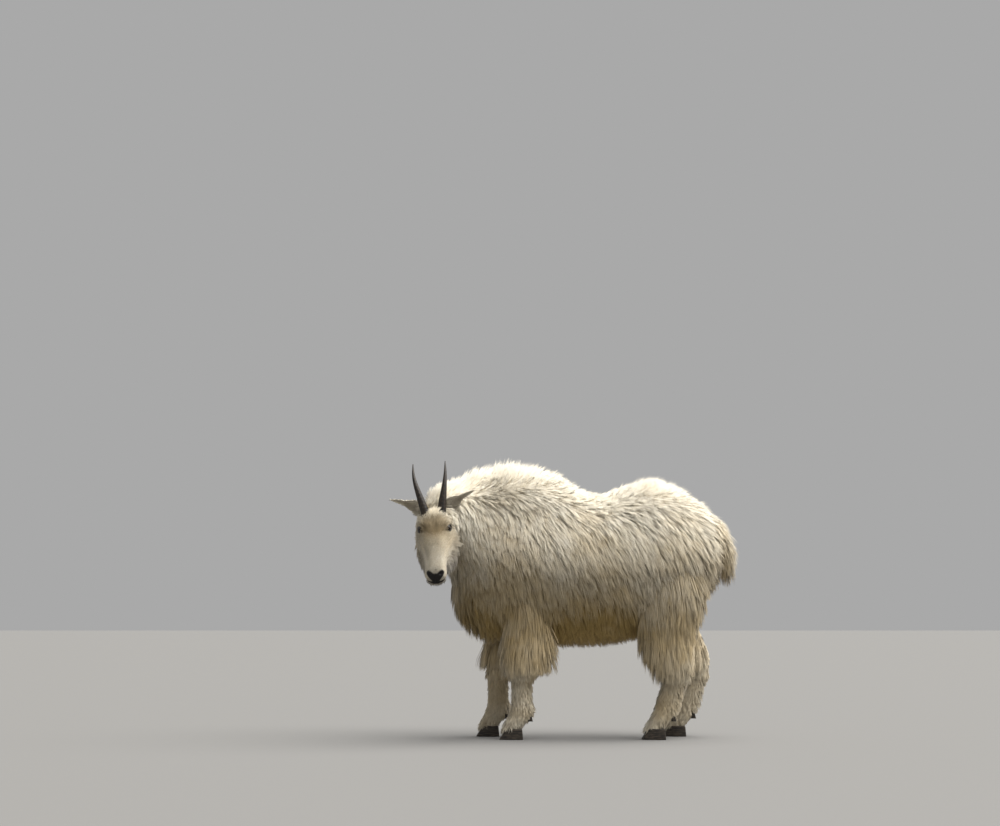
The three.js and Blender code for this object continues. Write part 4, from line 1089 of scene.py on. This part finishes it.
def tuft_mesh(name, path, normals, wide, unwrap, marks, shape, draw):
    """Closed three-sided tufts along the given paths, as one mesh, each drawn to a point at both ends."""
    count, steps = path.shape[:2]
    s, share = np.array(shape).T
    at = s * (steps - 1)
    low = np.minimum(at.astype(int), steps - 2)
    part = (at - low)[None, :, None]
    centre = path[:, low] * (1 - part) + path[:, low + 1] * part
    way = unit(path[:, low + 1] - path[:, low])
    facing = unit(normals + 0.7 * draw.normal(size=(count, 3)))[:, None]
    flat = unit(np.cross(way, facing))
    thick = np.cross(way, flat)
    inner = len(s) - 2
    rings, faces_out = [centre[:, 0]], [normals]
    for k in range(1, inner + 1):
        for corner in range(3):
            angle = math.radians(90 + 120 * corner)
            out = flat[:, k] * math.cos(angle) * 1.15 + thick[:, k] * math.sin(angle) * 0.6
            rings.append(centre[:, k] + out * (wide / 2 * share[k])[:, None])
            faces_out.append(unit(unit(out) * (1 - COAT_AS_ONE) + normals * COAT_AS_ONE))
    rings.append(centre[:, -1])
    faces_out.append(normals)
    points = np.stack(rings, 1)
    each = points.shape[1]
    tip = each - 1
    quads, triangles = [], []
    for corner in range(3):
        a, b = 1 + corner, 1 + (corner + 1) % 3
        triangles.append((0, b, a))
        triangles.append((a + 3 * (inner - 1), b + 3 * (inner - 1), tip))
        quads += [(a + 3 * k, b + 3 * k, b + 3 * k + 3, a + 3 * k + 3) for k in range(inner - 1)]
    base = np.arange(count)[:, None, None] * each
    quad_loops = (np.array(quads).reshape(1, -1, 4) + base).ravel() if quads else np.zeros(0, int)
    triangle_loops = (np.array(triangles)[None] + base).ravel()
    loops = np.concatenate([quad_loops, triangle_loops])
    starts = np.concatenate([
        np.arange(len(quad_loops) // 4) * 4,
        len(quad_loops) + np.arange(len(triangle_loops) // 3) * 3,
    ])
    mesh = bpy.data.meshes.new(name)
    mesh.vertices.add(count * each)
    mesh.vertices.foreach_set("co", to_metres(points.reshape(-1, 3)).ravel())
    mesh.loops.add(len(loops))
    mesh.loops.foreach_set("vertex_index", loops)
    mesh.polygons.add(len(starts))
    mesh.polygons.foreach_set("loop_start", starts)
    mesh.polygons.foreach_set("use_smooth", np.ones(len(starts), bool))
    mesh.update(calc_edges=True)
    mesh.normals_split_custom_set_from_vertices(np.stack(faces_out, 1).reshape(-1, 3).tolist())

    along = np.concatenate([[0.0], np.repeat(s[1:-1], 3), [1.0]])
    aside = np.concatenate([[0.0], np.tile([-0.5, 0.0, 0.5], inner), [0.0]])
    columns = np.repeat(marks[:, None], each, 1)
    columns[:, :, 3] = along[None]
    mark_points(mesh, columns.reshape(-1, 4))
    patch = np.stack([along - 0.5, aside], 1) * PATCH
    uv = (unwrap[:, None] + patch[None]).reshape(-1, 2)[loops]
    layer = mesh.uv_layers.new(name="OFBake")
    layer.uv.foreach_set("vector", uv.astype(np.float32).ravel())
    piece = bpy.data.objects.new(name, mesh)
    bpy.context.collection.objects.link(piece)
    return piece


wool, wool_tree, wool_shader = finish_of(
    "wool", Roughness=0.82, Specular_IOR_Level=0.18, Sheen_Weight=0.25, Sheen_Roughness=0.5
)
wool_tree.links.new(wool_on(wool_tree), wool_shader.inputs["Base Color"])

draw = np.random.default_rng(COAT_SEED)
roots, root_normals = roots_on_skin(COAT_SEED)
comb, root_part = combed(roots, root_normals)
is_short = comb["long"] < SHORT_TUFT
is_top = smooth(root_normals[:, 2], 0.3, 0.8) * (roots[:, 2] > 600)
share_of_clump = np.where(is_short, 4, 5 - 2 * is_top)
guide_of = draw.random(len(roots)) < 1 / share_of_clump
guides = np.flatnonzero(guide_of)
own_guide = guides[nearest(roots, roots[guides])]

calm = 1 - 0.7 * is_top
wander = (0.15 * sway(roots, 190, 11) + 0.13 * sway(roots, 55, 12)) * calm
guide_yaw = draw.normal(0, LOCK_TURN, len(roots))
guide_lean = draw.normal(0, LOCK_LEAN, len(roots))
guide_long = draw.uniform(*LOCK_LENGTHS, len(roots))
guide_light = draw.normal(0, LOCK_LIGHT, len(roots))
guide_paths = tuft_paths(
    roots, root_normals, comb, wander + guide_yaw, guide_lean, comb["long"] * guide_long
)
own_paths = tuft_paths(
    roots, root_normals, comb,
    wander + guide_yaw[own_guide] + draw.normal(0, HAIR_TURN, len(roots)),
    guide_lean[own_guide] + draw.normal(0, HAIR_LEAN, len(roots)),
    comb["long"] * guide_long[own_guide] * draw.uniform(*HAIR_LENGTHS, len(roots)),
)
path_s = np.linspace(0, 1, own_paths.shape[1])[None, :, None]
pull = (LOCK_PULL - LOCK_PULL_LESS * is_top)[:, None, None] * path_s**1.2
target = guide_paths[own_guide] + 0.3 * (roots - roots[own_guide])[:, None]
paths = own_paths + (target - own_paths) * pull

root_yellow, root_brown = markings(roots, root_normals)
# Painted light and shade for each tuft, with a random tone for its lock and for the hair itself.
painted_light_and_tone = painted_light_at(roots, root_part) + guide_light[own_guide] + draw.normal(0, HAIR_LIGHT, len(roots))
painted_light_and_tone = np.clip(painted_light_and_tone, 0, 1)
marks = np.stack([root_yellow, root_brown, painted_light_and_tone, np.ones(len(roots))], 1)

# The horns' centre lines are needed here, to keep the hair clear of them. HORN_TILT is the lean back from
# upright at root and tip, HORN_SPREAD the lean outwards, and HORN_SUNK how far the root lies in the skull.
HORN_LONG, HORN_RADIUS, HORN_TIP = 206, 18.5, 1.6
HORN_TILT = (46, 82)
HORN_SPREAD = {"left": 9, "right": 17}
HORN_RINGS = 9
HORN_SUNK = 16


def horn_line(side, steps=90):
    """The horn's centre line and its radius at each step, in the head's frame."""
    sign = SIDES[side]
    centre = np.array([HORN_ROOT[0], sign * HORN_ROOT[1], 44 - HORN_SUNK], float)
    line, radii = [], []
    for k in range(steps + 1):
        t = k / steps
        tilt = math.radians(HORN_TILT[0] + (HORN_TILT[1] - HORN_TILT[0]) * t * t * (1.6 - 0.6 * t))
        lean = math.radians(HORN_SPREAD[side] * float(smooth(t, 0.95, 0.45)))
        along = unit(np.array([-math.sin(tilt), sign * math.sin(lean), math.cos(tilt)]))
        ring = abs(math.sin(math.pi * t * HORN_RINGS * 1.8)) ** 0.5
        ringed = 1 + 0.06 * (ring - 0.5) * float(smooth(t, 0.55, 0.25))
        line.append(centre.copy())
        radii.append((HORN_RADIUS + (HORN_TIP - HORN_RADIUS) * t) * ringed)
        centre += along * (HORN_LONG + HORN_SUNK) / steps
    return np.array(line), np.array(radii)


HEAD_REACH = 360
SHORTEST_SHARE = 0.22


def things_on_head():
    """Balls along horns, over ears and before the eyes, each with the part whose own hair may cross it."""
    balls = []
    for side, sign in SIDES.items():
        line, radii = horn_line(side, 24)
        balls += [(at, radius + 3.5, "horn") for at, radius in zip(line, radii)]
        balls.append((np.array([1, sign * (EYE_Y + 16), EYE_Z]), 16.5, "eye"))
        for t in np.linspace(0.1, 0.95, 12):
            half = ear_half(t)
            for across in (-0.8, -0.4, 0, 0.4, 0.8):
                deep = EAR_DEEP * half / EAR_HALF * (1 - across**2)
                at = np.array([[-6 * math.sin(math.pi * t) - deep, EAR_LONG * t, half * across]])
                balls.append((ear_to_head(at, side)[0], 11.0, "ear_" + side))
    return balls


def clear_of_head(paths, part):
    """Cuts a tuft short where it would cross a horn, an ear, an eye or, from the neck, the face."""
    steps = paths.shape[1]
    local = goat_to_head(paths.reshape(-1, 3)).reshape(paths.shape)
    near = np.flatnonzero(np.linalg.norm(local[:, 0], axis=1) < HEAD_REACH)
    local, part = local[near], part[near]
    blocked = np.zeros(local.shape[:2], bool)
    for at, radius, owner in things_on_head():
        hit = np.linalg.norm(local - at, axis=2) < radius
        if owner in PARTS:
            hit &= (part != PARTS.index(owner))[:, None]
        blocked |= hit
    depth, along = head_place(paths[near].reshape(-1, 3))[:2]
    inside = ((depth < 1.04) & (along > 0.05)).reshape(blocked.shape)
    blocked |= inside & ~np.isin(part, HEAD_PARTS)[:, None]
    first = np.where(blocked.any(1), blocked.argmax(1), steps)
    share = np.ones(len(paths))
    share[near] = np.clip((first - 0.6) / (steps - 1), 0, 1)
    at = np.arange(steps)[None] * share[:, None]
    low = np.minimum(at.astype(int), steps - 2)
    rows = np.arange(len(paths))[:, None]
    part_way = (at - low)[:, :, None]
    cut = paths[rows, low] * (1 - part_way) + paths[rows, low + 1] * part_way
    return cut, share >= SHORTEST_SHARE


paths, kept = clear_of_head(paths, root_part)
tuft_wide = comb["wide"][kept]
paths, roots, root_normals, root_part, marks, is_short = (
    values[kept] for values in (paths, roots, root_normals, root_part, marks, is_short)
)

part_along = np.zeros(len(roots))
part_around = np.zeros(len(roots))
for k, part_name in enumerate(PARTS):
    here = root_part == k
    if here.any():
        _, along, angle = PART_PLACES[part_name](roots[here])
        part_along[here] = along
        part_around[here] = angle / (2 * math.pi)

TORSO_CUTS = {
    "coat_shoulder": (-900, -200), "coat_ribs": (-200, -20), "coat_flank": (-20, 150),
    "coat_loin": (150, 310), "coat_rump": (310, 900),
}


def coat_pieces():
    """Which roots belong to which piece of the coat."""
    index = {name: root_part == k for k, name in enumerate(PARTS)}
    pieces = {}
    for name, (start, end) in TORSO_CUTS.items():
        pieces[name] = index["torso"] & (roots[:, 0] >= start) & (roots[:, 0] < end)
    pieces["coat_neck"] = index["neck"]
    pieces["coat_tail"] = index["tail"]
    for leg in LEG_LINES:
        pieces["chap_" + leg] = index[leg] & ~is_short
        pieces["shank_fur_" + leg] = index[leg] & is_short
    pieces["beard"] = index["head"] & ~is_short
    pieces["face_fur"] = index["head"] & is_short
    pieces["ear_fur_left"] = index["ear_left"]
    pieces["ear_fur_right"] = index["ear_right"]
    return pieces


for piece_name, here in coat_pieces().items():
    short = piece_name.startswith(("shank", "face", "ear"))
    at = np.stack([part_along[here], part_around[here]], 1)
    span = np.maximum(at.max(0) - at.min(0), 1e-6)
    unwrap = 0.01 + 0.98 * (at - at.min(0)) / span
    piece = tuft_mesh(
        piece_name, paths[here], root_normals[here], tuft_wide[here] * draw.uniform(0.7, 1.25, here.sum()),
        unwrap, marks[here], SHORT_SHAPE if short else LONG_SHAPE, draw,
    )
    piece.data.materials.append(wool)
    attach(piece, "root")


# The eyes: dark balls under the lids, with a level slot for a pupil and a bulging wet front.
IRIS_BROWN = paint(26, 17, 10)
PUPIL_BLACK = paint(4, 4, 5)
PUPIL_HALF = {"X": 5.2, "Y": 1.9}
eye_glass, eye_tree, eye_shader = finish_of("eye_glass", Roughness=0.16, Specular_IOR_Level=0.3)
eye_map = put(eye_tree, "ShaderNodeAttribute", attribute_name="gaze")
eye_axes = put(eye_tree, "ShaderNodeSeparateXYZ", Vector=eye_map.outputs["Vector"])
slot_shape = []
for axis, half in PUPIL_HALF.items():
    across = worked_out(eye_tree, "ABSOLUTE", worked_out(eye_tree, "DIVIDE", eye_axes.outputs[axis], half))
    slot_shape.append(worked_out(eye_tree, "POWER", across, 3.0))
pupil_edge = worked_out(eye_tree, "ADD", *slot_shape)
pupil = put(eye_tree, "ShaderNodeMapRange", From_Min=0.9, From_Max=1.15, Value=pupil_edge)
eye_colour = blended(eye_tree, pupil.outputs[0], PUPIL_BLACK, IRIS_BROWN)
eye_tree.links.new(eye_colour, eye_shader.inputs["Base Color"])

for side, sign in SIDES.items():
    gaze = GAZE * np.array([1, sign, 1])
    eye_centre = np.array([0, sign * EYE_Y, EYE_Z])
    eye_at = to_metres(head_to_goat([eye_centre]))[0]
    clear_selection()
    bpy.ops.mesh.primitive_uv_sphere_add(segments=48, ring_count=32, radius=EYE_RADIUS * MM, location=eye_at)
    eye = bpy.context.active_object
    eye.name = "eyeball_" + side
    bpy.ops.object.transform_apply(location=True, rotation=True, scale=True)
    local = goat_to_head(to_millimetres(points_of(eye.data))) - eye_centre
    forward = (local @ gaze) / EYE_RADIUS
    level = unit(np.cross([0, 0, 1.0], gaze))
    up = np.cross(gaze, level)
    local += gaze * (smooth(forward, 0.82, 1.0) * 1.2)[:, None]
    eye.data.vertices.foreach_set("co", to_metres(head_to_goat(local + eye_centre)).ravel())
    layer = eye.data.attributes.new("gaze", "FLOAT_VECTOR", "POINT")
    seen = np.stack([local @ level, local @ up, forward], 1)
    layer.data.foreach_set("vector", seen.astype(np.float32).ravel())
    bpy.ops.object.shade_smooth()
    eye.data.materials.append(eye_glass)
    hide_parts("eye_" + side)
    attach(eye, "root")


# The horns: slim black daggers of keratin, ringed near the root, swept back and a little outwards.
def keratin(name, gloss, grain_size, squash, colours, ramp, rough, bump):
    """Horn of two browns, in streaks that are also duller and uneven."""
    finish, tree, shader = finish_of(name, Specular_IOR_Level=gloss)
    streaks = grain(tree, grain_size, 4.0, squash)
    colour = tree.nodes.new("ShaderNodeValToRGB")
    for k in (0, 1):
        colour.color_ramp.elements[k].color = colours[k]
        colour.color_ramp.elements[k].position = ramp[k]
    tree.links.new(streaks, colour.inputs["Fac"])
    tree.links.new(colour.outputs["Color"], shader.inputs["Base Color"])
    dullness = put(tree, "ShaderNodeMapRange", To_Min=rough[0], To_Max=rough[1], Value=streaks)
    tree.links.new(dullness.outputs[0], shader.inputs["Roughness"])
    relief = put(tree, "ShaderNodeBump", Strength=bump[0], Distance=bump[1], Height=streaks)
    tree.links.new(relief.outputs[0], shader.inputs["Normal"])
    return finish


horn_finish = keratin(
    "horn_keratin", gloss=0.4, grain_size=160.0, squash=(1.0, 1.0, 1.0),
    colours=(paint(16, 13, 11), paint(70, 56, 42)), ramp=(0.40, 0.78), rough=(0.34, 0.62), bump=(0.3, 0.0008),
)

for side in SIDES:
    line, radii = horn_line(side)
    data = bpy.data.curves.new("horn_" + side, "CURVE")
    data.dimensions = "3D"
    data.bevel_depth = 1.0
    data.bevel_resolution = 8
    data.use_fill_caps = True
    spline = data.splines.new("POLY")
    spline.points.add(len(line) - 1)
    for point, at, radius in zip(spline.points, to_metres(head_to_goat(line)), radii * MM):
        point.co = (*at, 1)
        point.radius = radius
    horn = bpy.data.objects.new("ringed_horn_" + side, data)
    bpy.context.collection.objects.link(horn)
    select_only(horn)
    bpy.ops.object.convert(target="MESH")
    horn = bpy.context.active_object
    outward(horn)
    bpy.ops.object.shade_smooth()
    horn.data.materials.clear()
    horn.data.materials.append(horn_finish)
    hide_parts("horn_" + side)
    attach(horn, "root")


# The hooves: two claws to a foot, of black horn with paler growth lines, and two small
# dew claws behind each pastern. Each is a block drawn to a toe, with its rim bevelled and rounded.
SOLE_CUT = 0.04
hoof_finish = keratin(
    "hoof_horn", gloss=0.35, grain_size=45.0, squash=(1.0, 1.0, 7.0),
    colours=(paint(26, 23, 21), paint(84, 74, 62)), ramp=(0.38, 0.80), rough=(0.45, 0.75), bump=(0.4, 0.001),
)


def select_where(piece, test):
    """In edit mode, selects the vertices whose place passes the test."""
    bpy.ops.mesh.select_all(action="DESELECT")
    soft = bmesh.from_edit_mesh(piece.data)
    for vertex in soft.verts:
        vertex.select = bool(test(vertex.co))
    soft.select_flush_mode()
    bmesh.update_edit_mesh(piece.data)


def claw(name, node, toe_narrow, top_back, top_small, fill=(1.0, 1.0, 1.0)):
    """A block drawn to a toe and leaning back to its top. fill is its share of the solid's size."""
    low, high = (np.array(corner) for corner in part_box(node))
    size = (high - low) * fill
    low = high - size if fill[2] < 1 else low
    high, middle = low + size, low + size / 2
    clear_selection()
    bpy.ops.mesh.primitive_cube_add(size=1, location=middle, scale=size)
    piece = bpy.context.active_object
    piece.name = name
    bpy.ops.object.transform_apply(location=True, rotation=True, scale=True)
    bpy.ops.object.mode_set(mode="EDIT")
    bpy.ops.mesh.select_all(action="SELECT")
    bpy.ops.mesh.subdivide(number_cuts=3)
    for from_middle, narrow in ((0.5, toe_narrow), (0.25, 0.58 + toe_narrow / 2)):
        at = middle[0] - size[0] * from_middle
        select_where(piece, lambda co: abs(co.x - at) < size[0] * 0.06)
        bpy.ops.transform.resize(value=(1, narrow, 1), center_override=(at, middle[1], middle[2]))
    for level in (1.0, 0.75, 0.5, 0.25):
        at = low[2] + size[2] * level
        select_where(piece, lambda co: abs(co.z - at) < size[2] * 0.06)
        shrink = 1 - (1 - top_small) * level
        bpy.ops.transform.resize(
            value=(shrink, 1 - (1 - top_small) * 0.5 * level, 1),
            center_override=(high[0] - size[0] * top_back, middle[1], at),
        )
    bpy.ops.object.mode_set(mode="OBJECT")
    apply_modifier(piece, "chamfer", "BEVEL", width=size.min() * 0.09, segments=2, limit_method="ANGLE")
    apply_modifier(piece, "round", "SUBSURF", levels=2, render_levels=2)
    points = points_of(piece.data)
    grown_low, grown_high = points.min(0), points.max(0)
    points = low + (points - grown_low) / (grown_high - grown_low) * size
    points[:, 2] = low[2] + np.maximum(points[:, 2] - low[2] - size[2] * SOLE_CUT, 0) / (1 - SOLE_CUT)
    piece.data.vertices.foreach_set("co", points.ravel())
    piece.data.update()
    select_only(piece)
    bpy.ops.object.shade_smooth()
    piece.data.materials.append(hoof_finish)
    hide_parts(node)
    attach(piece, "root")


for leg in LEG_LINES:
    for which in ("outer", "inner"):
        claw(f"hoof_{leg}_{which}", f"{leg}_claw_{which}", toe_narrow=0.45, top_back=0.12, top_small=0.66)
        claw(f"dew_hoof_{leg}_{which}", f"{leg}_dewclaw_{which}", toe_narrow=0.7, top_back=0.6,
             top_small=0.55, fill=(0.8, 0.8, 0.72))
